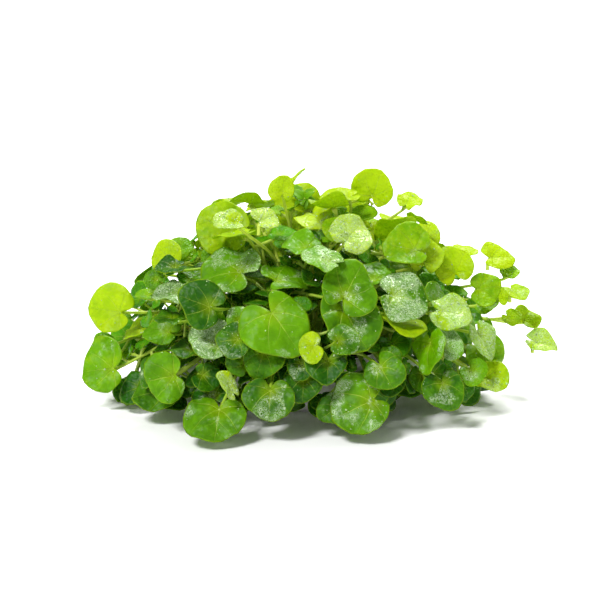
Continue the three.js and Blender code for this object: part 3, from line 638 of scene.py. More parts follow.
@dataclass
class Template:
    """A shape made once by mesh operators, and copied with its corners moved."""

    corners: Array
    loops: Array
    sizes: Array
    layers: dict[str, Array]

    @classmethod
    def read(cls, bm: bmesh.types.BMesh) -> "Template":
        """Reads a finished bmesh and frees it.

        Args:
            bm: the mesh.

        Returns:
            The template.
        """
        bm.verts.index_update()
        corners = np.array([vert.co for vert in bm.verts])
        kept = bm.verts.layers.float.items()
        layers = {name: np.array([vert[layer] for vert in bm.verts]) for name, layer in kept}
        loops = np.array([vert.index for face in bm.faces for vert in face.verts])
        sizes = np.array([len(face.verts) for face in bm.faces])
        bm.free()
        return cls(corners, loops, sizes, layers)

    @classmethod
    def blade(cls, columns: int, rows: int) -> "Template":
        """A closed blade of two sheets, as a grid wrapped round its middle.

        Args:
            columns: steps round the outline.
            rows: steps from the stalk's end to the outline.

        Returns:
            The template, with each corner's turn, share and sheet.
        """
        bm = bmesh.new()
        turn = bm.verts.layers.float.new("turn")
        share = bm.verts.layers.float.new("share")
        sheet = bm.verts.layers.float.new("sheet")
        bmesh.ops.create_grid(bm, x_segments=columns, y_segments=rows, size=1.0)
        for vert in bm.verts:
            vert[turn] = crowded(math.pi * vert.co.x)
            vert[share] = 1 - (1 - (vert.co.y + 1) / 2) ** 1.35
        copied = bmesh.ops.duplicate(bm, geom=bm.verts[:] + bm.edges[:] + bm.faces[:])["geom"]
        under = [item for item in copied if isinstance(item, Vert)]
        for vert in under:
            vert[sheet] = 1.0
        for vert in bm.verts:
            height = (1 - vert[share]) * (1 - 2 * vert[sheet])
            vert.co = (vert[share] * math.cos(vert[turn]), vert[share] * math.sin(vert[turn]), height)
        bmesh.ops.remove_doubles(bm, verts=bm.verts, dist=1e-4)
        bmesh.ops.recalc_face_normals(bm, faces=bm.faces)
        return cls.read(bm)

    @classmethod
    def tube(cls, sides: int, rings: int) -> "Template":
        """A capped tube.

        Args:
            sides: corners in each ring.
            rings: rings along it.

        Returns:
            The template, with each corner's turn and its ring's share of the way along.
        """
        bm = bmesh.new()
        turn = bm.verts.layers.float.new("turn")
        share = bm.verts.layers.float.new("share")
        raised = Matrix.Translation((0, 0, 0.5))
        bmesh.ops.create_cone(
            bm, cap_ends=True, segments=sides, radius1=1.0, radius2=1.0, depth=1.0, matrix=raised
        )
        lengthwise = [edge for edge in bm.edges if abs(edge.verts[0].co.z - edge.verts[1].co.z) > 0.5]
        bmesh.ops.subdivide_edges(bm, edges=lengthwise, cuts=rings - 2, use_grid_fill=True)
        for vert in bm.verts:
            vert[turn] = math.atan2(vert.co.y, vert.co.x)
            vert[share] = vert.co.z
        bmesh.ops.recalc_face_normals(bm, faces=bm.faces)
        return cls.read(bm)

    @classmethod
    def drop(cls) -> "Template":
        """A drop of water.

        Returns:
            The template: a low dome with a sunk flat foot.
        """
        dome_height = 0.75
        foot = -0.25
        bm = bmesh.new()
        bmesh.ops.create_uvsphere(bm, u_segments=6, v_segments=4, radius=1.0)
        for vert in bm.verts:
            vert.co.z = vert.co.z * dome_height if vert.co.z > -0.01 else foot
        return cls.read(bm)

    @classmethod
    def pebble(cls) -> "Template":
        """A crumb of soil.

        Returns:
            The template: a small rounded lump.
        """
        bm = bmesh.new()
        bmesh.ops.create_icosphere(bm, subdivisions=1, radius=1.0)
        return cls.read(bm)


class Pile:
    """Collects shaped copies of templates and makes them one mesh object."""

    def __init__(self, name: str) -> None:
        """Starts an empty pile.

        Args:
            name: the piece's name.
        """
        self.name = name
        self.points: list[Array] = []
        self.loops: list[Array] = []
        self.sizes: list[Array] = []
        self.slots: list[Array] = []
        self.facts: list[Array] = []
        self.plane: list[Array] = []
        self.count = 0

    def add(self, template: Template, points: Array, facts: Array, plane: Array, slot: int = 0) -> None:
        """Adds one copy.

        Args:
            template: the shape that is copied.
            points: its corners' places in millimetres.
            facts: four numbers for each corner: tint, wetness, share of the way to the rim, and sheet.
            plane: two numbers for each corner: its place across and along the piece's own plane.
            slot: which of the piece's materials its faces take.
        """
        self.points.append(points)
        self.loops.append(template.loops + self.count)
        self.sizes.append(template.sizes)
        self.slots.append(np.full(len(template.sizes), slot))
        self.facts.append(np.broadcast_to(facts, (len(points), 4)))
        self.plane.append(plane[template.loops])
        self.count += len(points)

    def make(self, materials: list[Material]) -> Piece:
        """Makes the mesh object, in metres, with its facts and its plane as attributes.

        Args:
            materials: the piece's materials, by slot.

        Returns:
            The piece.
        """
        mesh = bpy.data.meshes.new(self.name)
        points = np.concatenate(self.points) * MM
        loops = np.concatenate(self.loops)
        sizes = np.concatenate(self.sizes)
        mesh.vertices.add(len(points))
        mesh.vertices.foreach_set("co", points.astype(np.float32).ravel())
        mesh.loops.add(len(loops))
        mesh.loops.foreach_set("vertex_index", loops.astype(np.int32))
        mesh.polygons.add(len(sizes))
        starts = np.concatenate(([0], np.cumsum(sizes)[:-1]))
        mesh.polygons.foreach_set("loop_start", starts.astype(np.int32))
        mesh.polygons.foreach_set("material_index", np.concatenate(self.slots).astype(np.int32))
        mesh.update(calc_edges=True)
        mesh.polygons.foreach_set("use_smooth", np.ones(len(sizes), bool))
        facts = mesh.color_attributes.new("facts", "FLOAT_COLOR", "POINT")
        facts.data.foreach_set("color", np.concatenate(self.facts).astype(np.float32).ravel())
        plane = mesh.uv_layers.new(name="plane")
        plane.data.foreach_set("uv", np.concatenate(self.plane).astype(np.float32).ravel())
        for material in materials:
            mesh.materials.append(material)
        return placed(self.name, mesh)


class Nodes:
    """Adds and links the nodes of one material or group."""

    def __init__(self, tree: bpy.types.NodeTree) -> None:
        """Starts on a node tree."""
        self.tree = tree

    def feed(self, socket: Socket, value: object) -> None:
        """Links a socket to an input, or sets the input to a value.

        Args:
            socket: the input.
            value: a socket, a number, a vector or a colour.
        """
        if isinstance(value, Socket):
            self.tree.links.new(value, socket)
        elif isinstance(value, tuple) and len(value) == 3 and socket.type == "RGBA":
            socket.default_value = (*value, 1.0)
        else:
            socket.default_value = value

    def add(self, kind: str, settings: dict | None = None, inputs: dict | None = None) -> bpy.types.Node:
        """Adds a node.

        Args:
            kind: the node's type.
            settings: its properties.
            inputs: values or sockets for its inputs, by name or number.

        Returns:
            The node.
        """
        node = self.tree.nodes.new(kind)
        for name, value in (settings or {}).items():
            setattr(node, name, value)
        for name, value in (inputs or {}).items():
            self.feed(node.inputs[name], value)
        return node

    def math(self, operation: str, *values: object) -> Socket:
        """The result of a math node."""
        return self.add("ShaderNodeMath", {"operation": operation}, dict(enumerate(values))).outputs[0]

    def times(self, first: object, second: object) -> Socket:
        """The product of two values."""
        return self.math("MULTIPLY", first, second)

    def plus(self, first: object, second: object) -> Socket:
        """The sum of two values."""
        return self.math("ADD", first, second)

    def minus(self, first: object, second: object) -> Socket:
        """The first value less the second."""
        return self.math("SUBTRACT", first, second)

    def greater(self, first: object, second: object) -> Socket:
        """The greater of two values."""
        return self.math("MAXIMUM", first, second)

    def scaled(self, value: object, factor: object, added: object) -> Socket:
        """A value times a factor, with something added."""
        return self.math("MULTIPLY_ADD", value, factor, added)

    def place(self) -> Socket:
        """The place in the piece's own space."""
        return self.add("ShaderNodeTexCoord").outputs["Object"]

    def cells(self, vector: object, scale: object) -> bpy.types.NodeOutputs:
        """A pattern of cells: the distance to the nearest middle, and a colour drawn for each cell."""
        inputs = {"Vector": vector, "Scale": scale}
        return self.add("ShaderNodeTexVoronoi", {"feature": "F1"}, inputs).outputs

    def bumped(self, height: object, strength: float, depth: float) -> Socket:
        """The surface's direction, bent by a pattern of heights up to a depth in metres."""
        inputs = {"Strength": strength, "Distance": depth, "Height": height}
        return self.add("ShaderNodeBump", None, inputs).outputs[0]

    def ramp(
        self, value: object, low: object, high: object, start: float = 0.0, end: float = 1.0
    ) -> Socket:
        """A value eased from start to end as it goes from low to high."""
        inputs = {0: value, 1: low, 2: high, 3: start, 4: end}
        return self.add("ShaderNodeMapRange", {"interpolation_type": "SMOOTHSTEP"}, inputs).outputs[0]

    def mix(self, factor: object, first: object, second: object) -> Socket:
        """A mix of two colours."""
        settings = {"data_type": "RGBA", "blend_type": "MIX", "clamp_factor": True}
        return self.add("ShaderNodeMix", settings, {0: factor, 6: first, 7: second}).outputs[2]

    def noise(self, vector: object, scale: float, detail: float = 3.0) -> Socket:
        """A noise value from 0 to 1."""
        inputs = {"Vector": vector, "Scale": scale, "Detail": detail}
        return self.add("ShaderNodeTexNoise", None, inputs).outputs[0]


def effect_group(
    name: str, inputs: dict[str, str], outputs: dict[str, str]
) -> tuple[bpy.types.NodeTree, Nodes]:
    """Starts a shader node group.

    Args:
        name: the group's name.
        inputs: each input's name and socket type.
        outputs: each output's name and socket type.

    Returns:
        The group and the helper that fills it.
    """
    tree = bpy.data.node_groups.new(name, "ShaderNodeTree")
    for label, kind in inputs.items():
        tree.interface.new_socket(name=label, in_out="INPUT", socket_type=kind)
    for label, kind in outputs.items():
        tree.interface.new_socket(name=label, in_out="OUTPUT", socket_type=kind)
    return tree, Nodes(tree)


def vein_pattern() -> bpy.types.NodeTree:
    """Veins of a blade: a midrib, laterals that bow to the tip, small branches, and quilted skin between.

    Returns:
        The group, which puts out the ribs, a star round the stalk, and the quilting.
    """
    tree, nodes = effect_group(
        "vein_pattern",
        {"Plane": "NodeSocketVector", "Spacing": "NodeSocketFloat", "Thickness": "NodeSocketFloat"},
        {"Ribs": "NodeSocketFloat", "Star": "NodeSocketFloat", "Quilt": "NodeSocketFloat"},
    )
    given = nodes.add("NodeGroupInput").outputs
    parts = nodes.add("ShaderNodeSeparateXYZ", None, {0: given["Plane"]}).outputs
    reach = nodes.add("ShaderNodeVectorMath", {"operation": "LENGTH"}, {0: given["Plane"]}).outputs[1]
    stray = nodes.minus(nodes.noise(given["Plane"], 3.2, 1.0), 0.5)
    thin = nodes.times(given["Thickness"], nodes.ramp(reach, 0.05, 0.75, 1.3, 0.45))

    def line(distance: object, width: object, strength: object) -> Socket:
        """A soft line where a distance is near nothing."""
        inner = nodes.times(width, 0.35)
        edge = nodes.ramp(distance, inner, nodes.times(width, 1.5), 1.0, 0.0)
        return nodes.times(edge, strength)

    strayed = nodes.scaled(stray, nodes.times(reach, 0.12), parts[0])
    across = nodes.math("ABSOLUTE", strayed)
    midrib = line(nodes.plus(across, nodes.ramp(parts[1], -0.02, 0.0, 0.2, 0.0)), thin, 1.0)
    turn = nodes.math("ARCTAN2", across, parts[1])
    bow = nodes.scaled(stray, 0.3, VEIN_BOW)
    bowed = nodes.plus(turn, nodes.times(reach, bow))
    fan = nodes.math("PINGPONG", bowed, nodes.times(given["Spacing"], 0.5))
    sideways = nodes.times(nodes.ramp(turn, 0.12, 0.3), nodes.ramp(turn, 2.5, 2.2))
    laterals = line(nodes.times(fan, reach), nodes.times(thin, 0.8), sideways)
    climb = nodes.scaled(across, -0.95, nodes.scaled(stray, 0.1, parts[1]))
    rung = nodes.times(nodes.math("PINGPONG", climb, 0.105), 0.72)
    inside = nodes.times(nodes.ramp(turn, 0.75, 0.5), nodes.ramp(climb, 0.12, 0.16))
    inside = nodes.times(inside, nodes.ramp(across, 0.3, 0.02))
    branches = line(rung, nodes.times(thin, 0.55), inside)
    ribs = nodes.greater(laterals, nodes.times(branches, 0.6))
    ribs = nodes.greater(midrib, ribs)
    cells = {"Vector": given["Plane"], "Scale": 13.0, "Randomness": 0.9}
    quilt = nodes.add("ShaderNodeTexVoronoi", {"feature": "SMOOTH_F1"}, cells).outputs[0]
    result = nodes.add("NodeGroupOutput")
    nodes.feed(result.inputs["Ribs"], nodes.times(ribs, nodes.ramp(reach, 0.1, 0.72, 1.0, 0.3)))
    nodes.feed(result.inputs["Star"], nodes.ramp(reach, 0.0, 0.3, 1.0, 0.0))
    nodes.feed(result.inputs["Quilt"], nodes.ramp(quilt, 0.1, 0.65, 1.0, 0.0))
    return tree


def bead_pattern() -> bpy.types.NodeTree:
    """Beads of water in patches.

    Returns:
        The group: wet patches with painted sheen between beads, their middles painted dark, rims as glints.
    """
    tree, nodes = effect_group(
        "bead_pattern",
        {"Place": "NodeSocketVector", "Scale": "NodeSocketFloat", "Amount": "NodeSocketFloat"},
        {"Sheen": "NodeSocketFloat", "Middles": "NodeSocketFloat", "Glints": "NodeSocketFloat"},
    )
    given = nodes.add("NodeGroupInput").outputs
    # Wet patches: they get lower roughness and a painted sheen in the blade's colour.
    patches = nodes.noise(given["Place"], 170.0, 2.0)
    low = nodes.scaled(given["Amount"], -0.42, 0.78)
    sheen = nodes.ramp(patches, low, nodes.plus(low, 0.1))
    fine = nodes.cells(given["Place"], given["Scale"])[0]
    coarse = nodes.cells(given["Place"], nodes.times(given["Scale"], 0.42))
    drawn = nodes.add("ShaderNodeSeparateColor", None, {0: coarse[1]}).outputs[0]
    big = nodes.math("GREATER_THAN", drawn, 0.52)
    small = nodes.minus(1.0, big)
    size = nodes.ramp(drawn, 0.45, 1.0, 0.12, 0.4)
    middle = nodes.ramp(coarse[0], nodes.minus(size, 0.1), size, 1.0, 0.0)
    outer = nodes.ramp(coarse[0], size, nodes.plus(size, 0.12), 1.0, 0.0)
    rim = nodes.times(nodes.minus(outer, middle), big)
    middle = nodes.times(middle, big)
    small_middle = nodes.times(nodes.ramp(fine, 0.14, 0.34, 0.6, 0.0), small)
    small_glint = nodes.times(nodes.ramp(fine, 0.3, 0.42), nodes.ramp(fine, 0.62, 0.46, 0.0, 0.6))
    middles = nodes.greater(middle, small_middle)
    # Painted shade in the bead middles, which also raise the bump, and painted glints on their rims.
    result = nodes.add("NodeGroupOutput")
    nodes.feed(result.inputs["Sheen"], sheen)
    nodes.feed(result.inputs["Middles"], nodes.times(middles, sheen))
    painted_glints = nodes.greater(rim, small_glint)
    nodes.feed(result.inputs["Glints"], nodes.times(painted_glints, sheen))
    return tree


def new_material(name: str) -> tuple[Material, Nodes, bpy.types.Node]:
    """Starts a material.

    Args:
        name: its name.

    Returns:
        The material, its node helper and its output node.
    """
    material = bpy.data.materials.new(name)
    material.use_nodes = True
    material.node_tree.nodes.clear()
    nodes = Nodes(material.node_tree)
    return material, nodes, nodes.add("ShaderNodeOutputMaterial")


@dataclass(frozen=True)
class BladeFinish:
    """The skin of a leaf blade: green, veined, moist and partly see-through against the light."""

    name: str
    deep: Colour
    mid: Colour
    bright: Colour
    vein: Colour
    under: Colour
    # The pale colour painted on wet patches as sheen, and on bead rims as glints.
    painted_sheen: Colour
    glow: Colour
    vein_thickness: float = 0.0075
    bead_scale: float = 1900.0

    def make(self, veins: bpy.types.NodeTree, beads: bpy.types.NodeTree) -> Material:
        """Makes the material.

        Args:
            veins: the vein pattern.
            beads: the bead pattern.

        Returns:
            The material.
        """
        material, nodes, output = new_material(self.name)
        facts = nodes.add("ShaderNodeAttribute", {"attribute_name": "facts"})
        tint, wet, share = nodes.add("ShaderNodeSeparateColor", None, {0: facts.outputs["Color"]}).outputs
        under = facts.outputs["Alpha"]
        plane = nodes.add("ShaderNodeUVMap", {"uv_map": "plane"}).outputs[0]
        place = nodes.place()
        given = {"Plane": plane, "Spacing": VEIN_SPACING, "Thickness": self.vein_thickness}
        pattern = nodes.add("ShaderNodeGroup", {"node_tree": veins}, given).outputs
        given = {"Place": place, "Scale": self.bead_scale, "Amount": wet}
        water = nodes.add("ShaderNodeGroup", {"node_tree": beads}, given).outputs
        mottle = nodes.noise(place, 240.0, 4.0)
        fine = nodes.noise(place, 2400.0, 3.0)
        colour = self._base_colour(nodes, tint, share, mottle, pattern)
        colour = nodes.mix(nodes.times(under, 0.42), colour, self.under)
        plain = colour
        above = nodes.minus(1.0, under)
        # Painted sheen over the wet patches of the upper side, strongest on soaked leaves.
        frosted = nodes.times(above, nodes.ramp(wet, 0.7, 1.0, 0.04, 0.11))
        colour = nodes.mix(nodes.times(water["Sheen"], frosted), colour, self.painted_sheen)
        # Painted shade in the bead middles, and painted glints on their rims, over the wet patches.
        colour = nodes.mix(nodes.times(water["Middles"], 0.42), colour, self.deep)
        painted_glints = nodes.times(water["Glints"], nodes.times(above, 0.74))
        colour = nodes.mix(painted_glints, colour, self.painted_sheen)
        relief = nodes.times(pattern["Quilt"], 0.9)
        relief = nodes.scaled(pattern["Ribs"], -0.9, relief)
        relief = nodes.scaled(water["Middles"], 0.9, relief)
        relief = nodes.scaled(fine, 0.3, relief)
        bump = nodes.bumped(relief, 0.6, 0.00026)
        skin = nodes.add("ShaderNodeBsdfPrincipled")
        nodes.feed(skin.inputs["Base Color"], colour)
        nodes.feed(skin.inputs["Roughness"], nodes.ramp(water["Sheen"], 0.0, 1.0, 0.4, 0.24))
        nodes.feed(skin.inputs["Normal"], bump)
        skin.inputs["IOR"].default_value = 1.4
        skin.inputs["Specular IOR Level"].default_value = 0.25
        through = nodes.add("ShaderNodeBsdfTranslucent")
        nodes.feed(through.inputs["Color"], nodes.mix(0.6, plain, self.glow))
        nodes.feed(through.inputs["Normal"], bump)
        share_through = nodes.ramp(tint, 0.0, 1.0, 0.26, 0.46)
        layers = {0: share_through, 1: skin.outputs[0], 2: through.outputs[0]}
        shaded = nodes.add("ShaderNodeMixShader", None, layers)
        nodes.feed(output.inputs["Surface"], shaded.outputs[0])
        return material

    def _base_colour(
        self,
        nodes: Nodes,
        tint: Socket,
        share: Socket,
        mottle: Socket,
        pattern: bpy.types.NodeOutputs,
    ) -> Socket:
        """Mixes the green of the blade, its veins, and its margin, lightened as a painted rim highlight.

        Args:
            nodes: the material's node helper.
            tint: how bright the leaf is, from 0 to 1, as painted light and shade with some random tone.
            share: the share of the way to the margin.
            mottle: a cloudy noise.
            pattern: the vein pattern's outputs.

        Returns:
            The colour.
        """
        cloud = nodes.times(nodes.minus(mottle, 0.5), 0.5)
        quilted = nodes.times(nodes.minus(pattern["Quilt"], 0.5), 0.09)
        toned = nodes.plus(tint, nodes.plus(cloud, quilted))
        # The tint mixes deep, mid and bright greens, painting light and shade; cloud and quilt vary it.
        colour = nodes.mix(nodes.ramp(toned, -0.05, 0.55), self.deep, self.mid)
        colour = nodes.mix(nodes.ramp(toned, 0.45, 1.0), colour, self.bright)
        colour = nodes.mix(nodes.times(pattern["Star"], 0.3), colour, self.bright)
        shown = nodes.ramp(mottle, 0.36, 0.62, 0.3, 0.62)
        colour = nodes.mix(nodes.times(pattern["Ribs"], shown), colour, self.vein)
        # Painted rim highlight: the margin drawn towards the bright green.
        return nodes.mix(nodes.ramp(share, 0.96, 1.0, 0.0, 0.26), colour, self.bright)


@dataclass(frozen=True)
class StemFinish:
    """The skin of a stem: pale, juicy yellow-green, a little see-through."""

    name: str
    low: Colour
    high: Colour
    sunlit: Colour
    share_through: float = 0.42

    def make(self) -> Material:
        """Makes the material.

        Returns:
            The material.
        """
        material, nodes, output = new_material(self.name)
        facts = nodes.add("ShaderNodeAttribute", {"attribute_name": "facts"})
        tint, _, share = nodes.add("ShaderNodeSeparateColor", None, {0: facts.outputs["Color"]}).outputs
        place = nodes.place()
        streaks = nodes.noise(place, 900.0, 3.0)
        streaked = nodes.times(nodes.minus(streaks, 0.5), 0.5)
        toned = nodes.plus(share, streaked)
        colour = nodes.mix(nodes.ramp(toned, 0.1, 1.0), self.low, self.high)
        # Painted sunlight: the stem drawn towards a sunlit colour by its tint, which carries painted light.
        colour = nodes.mix(nodes.times(tint, 0.7), colour, self.sunlit)
        bump = nodes.bumped(streaks, 0.2, 0.0001)
        inputs = {"Base Color": colour, "Normal": bump}
        skin = nodes.add("ShaderNodeBsdfPrincipled", None, inputs)
        skin.inputs["Roughness"].default_value = 0.32
        skin.inputs["IOR"].default_value = 1.4
        through = nodes.add("ShaderNodeBsdfTranslucent", None, {"Color": colour})
        layers = {0: self.share_through, 1: skin.outputs[0], 2: through.outputs[0]}
        shaded = nodes.add("ShaderNodeMixShader", None, layers)
        nodes.feed(output.inputs["Surface"], shaded.outputs[0])
        return material


@dataclass(frozen=True)
class WaterFinish:
    """Clear water that stands on the leaves in drops, with the green under it showing through."""

    name: str
    body: Colour

    def make(self) -> Material:
        """Makes the material.

        Returns:
            The material.
        """
        material, nodes, output = new_material(self.name)
        place = nodes.place()
        ripple = nodes.noise(place, 1500.0, 1.0)
        bump = nodes.bumped(ripple, 0.1, 0.00005)
        water = nodes.add("ShaderNodeBsdfPrincipled", None, {"Normal": bump})
        water.inputs["Base Color"].default_value = (*self.body, 1.0)
        water.inputs["Roughness"].default_value = 0.05
        water.inputs["IOR"].default_value = 1.333
        water.inputs["Transmission Weight"].default_value = 0.45
        nodes.feed(output.inputs["Surface"], water.outputs[0])
        return material


@dataclass(frozen=True)
class GlazeFinish:
    """The pot's smooth white glaze, with a faint unevenness and pinholes."""

    name: str
    body: Colour
    shade: Colour

    def make(self) -> Material:
        """Makes the material.

        Returns:
            The material.
        """
        material, nodes, output = new_material(self.name)
        place = nodes.place()
        clouds = nodes.noise(place, 45.0, 3.0)
        pit = nodes.ramp(nodes.cells(place, 420.0)[0], 0.03, 0.07, 1.0, 0.0)
        colour = nodes.mix(nodes.ramp(clouds, 0.35, 0.75), self.body, self.shade)
        colour = nodes.mix(nodes.times(pit, 0.35), colour, self.shade)
        height = nodes.minus(clouds, nodes.times(pit, 0.3))
        bump = nodes.bumped(height, 0.25, 0.0006)
        inputs = {"Base Color": colour, "Normal": bump}
        glaze = nodes.add("ShaderNodeBsdfPrincipled", None, inputs)
        glaze.inputs["Roughness"].default_value = 0.3
        glaze.inputs["Coat Weight"].default_value = 0.5
        glaze.inputs["Coat Roughness"].default_value = 0.08
        nodes.feed(output.inputs["Surface"], glaze.outputs[0])
        return material


@dataclass(frozen=True)
class SoilFinish:
    """Moist potting soil: dark crumbs with paler fibres."""

    name: str
    dark: Colour
    light: Colour

    def make(self) -> Material:
        """Makes the material.

        Returns:
            The material.
        """
        material, nodes, output = new_material(self.name)
        place = nodes.place()
        grain = nodes.noise(place, 900.0, 6.0)
        clods = nodes.noise(place, 160.0, 3.0)
        coarse = nodes.times(clods, 0.4)
        toned = nodes.plus(nodes.times(grain, 0.6), coarse)
        colour = nodes.mix(nodes.ramp(toned, 0.4, 0.7), self.dark, self.light)
        bump = nodes.bumped(toned, 0.8, 0.0008)
        inputs = {"Base Color": colour, "Normal": bump}
        soil = nodes.add("ShaderNodeBsdfPrincipled", None, inputs)
        nodes.feed(soil.inputs["Roughness"], nodes.ramp(clods, 0.3, 0.7, 0.62, 0.95))
        nodes.feed(output.inputs["Surface"], soil.outputs[0])
        return material


class Patch(Enum):
    """What a place in the front view says about the leaf there."""

    BRIGHT = "bright"
    WET = "wet"
    # Soaked leaves, which get the most painted sheen over their beads.
    FROSTED = "frosted"
    MOIST = "moist"
    DARK = "dark"


# Single leaves of the front view, at places right of and above its middle in millimetres, listed one by one.
PATCHES = {
    # Bright leaves here get painted light and dark ones painted shade; wet ones get painted sheen.
    Patch.BRIGHT: [
        (-4.5, 32.5), (-23.5, 23.0), (-4.5, 25.5), (-40.5, 13.0), (-53.0, -1.5), (-48.5, -11.0),
        (21.5, 32.5), (36.5, 14.5), (28.5, -5.5), (55.0, -18.5), (-52.0, 9.0), (-38.0, 21.0), (68.0, -8.5),
        (46.0, 17.0), (-19.5, 27.0), (10.0, 26.5), (33.0, 22.0), (3.0, -13.4), (-20.5, -23.0),
    ],
    Patch.WET: [
        (-21.0, -11.0), (7.0, 29.0), (8.5, -11.5), (17.0, -28.5), (17.0, -9.0), (36.0, 25.0), (-34.0, -1.0),
        (56.0, -19.0), (-19.7, 8.9), (3.0, -13.4),
    ],
    Patch.FROSTED: [
        (-10.8, 23.7), (-17.5, 23.5), (15.0, 20.0), (-12.5, 9.0), (-38.5, 3.0), (-27.0, -11.5),
        (-20.5, -21.5), (4.5, 12.5), (29.5, 3.0), (44.5, -3.5), (44.0, -14.0), (50.0, -10.0), (68.5, -8.5),
    ],
    Patch.MOIST: [
        (-24.5, -32.5), (-9.2, -28.2), (-39.4, -22.3), (-44.0, -26.5), (-5.5, -7.0), (14.4, 3.5),
        (24.4, -19.7), (30.2, 16.2), (-1.0, -19.7),
    ],
    Patch.DARK: [
        (-28.5, -0.5), (-4.0, -18.5), (0.5, -26.5), (8.0, -19.0), (-36.0, 10.0), (2.0, 19.5),
    ],
}
PATCH_REACH = 4.5
PATCH_WETNESS = {Patch.WET: 0.76, Patch.FROSTED: 1.0, Patch.MOIST: 0.5}
# The tints that paint light on the bright leaves and shade on the dark ones.
BRIGHT_TINT = 0.84
DARK_TINT = 0.06


def corner_facts(tint: float, wet: float, share: Array, sheet: Array) -> Array:
    """Four numbers for each corner: tint, wetness, share of the way to the rim, and sheet."""
    return np.stack((np.full(len(share), tint), np.full(len(share), wet), share, sheet), axis=1)


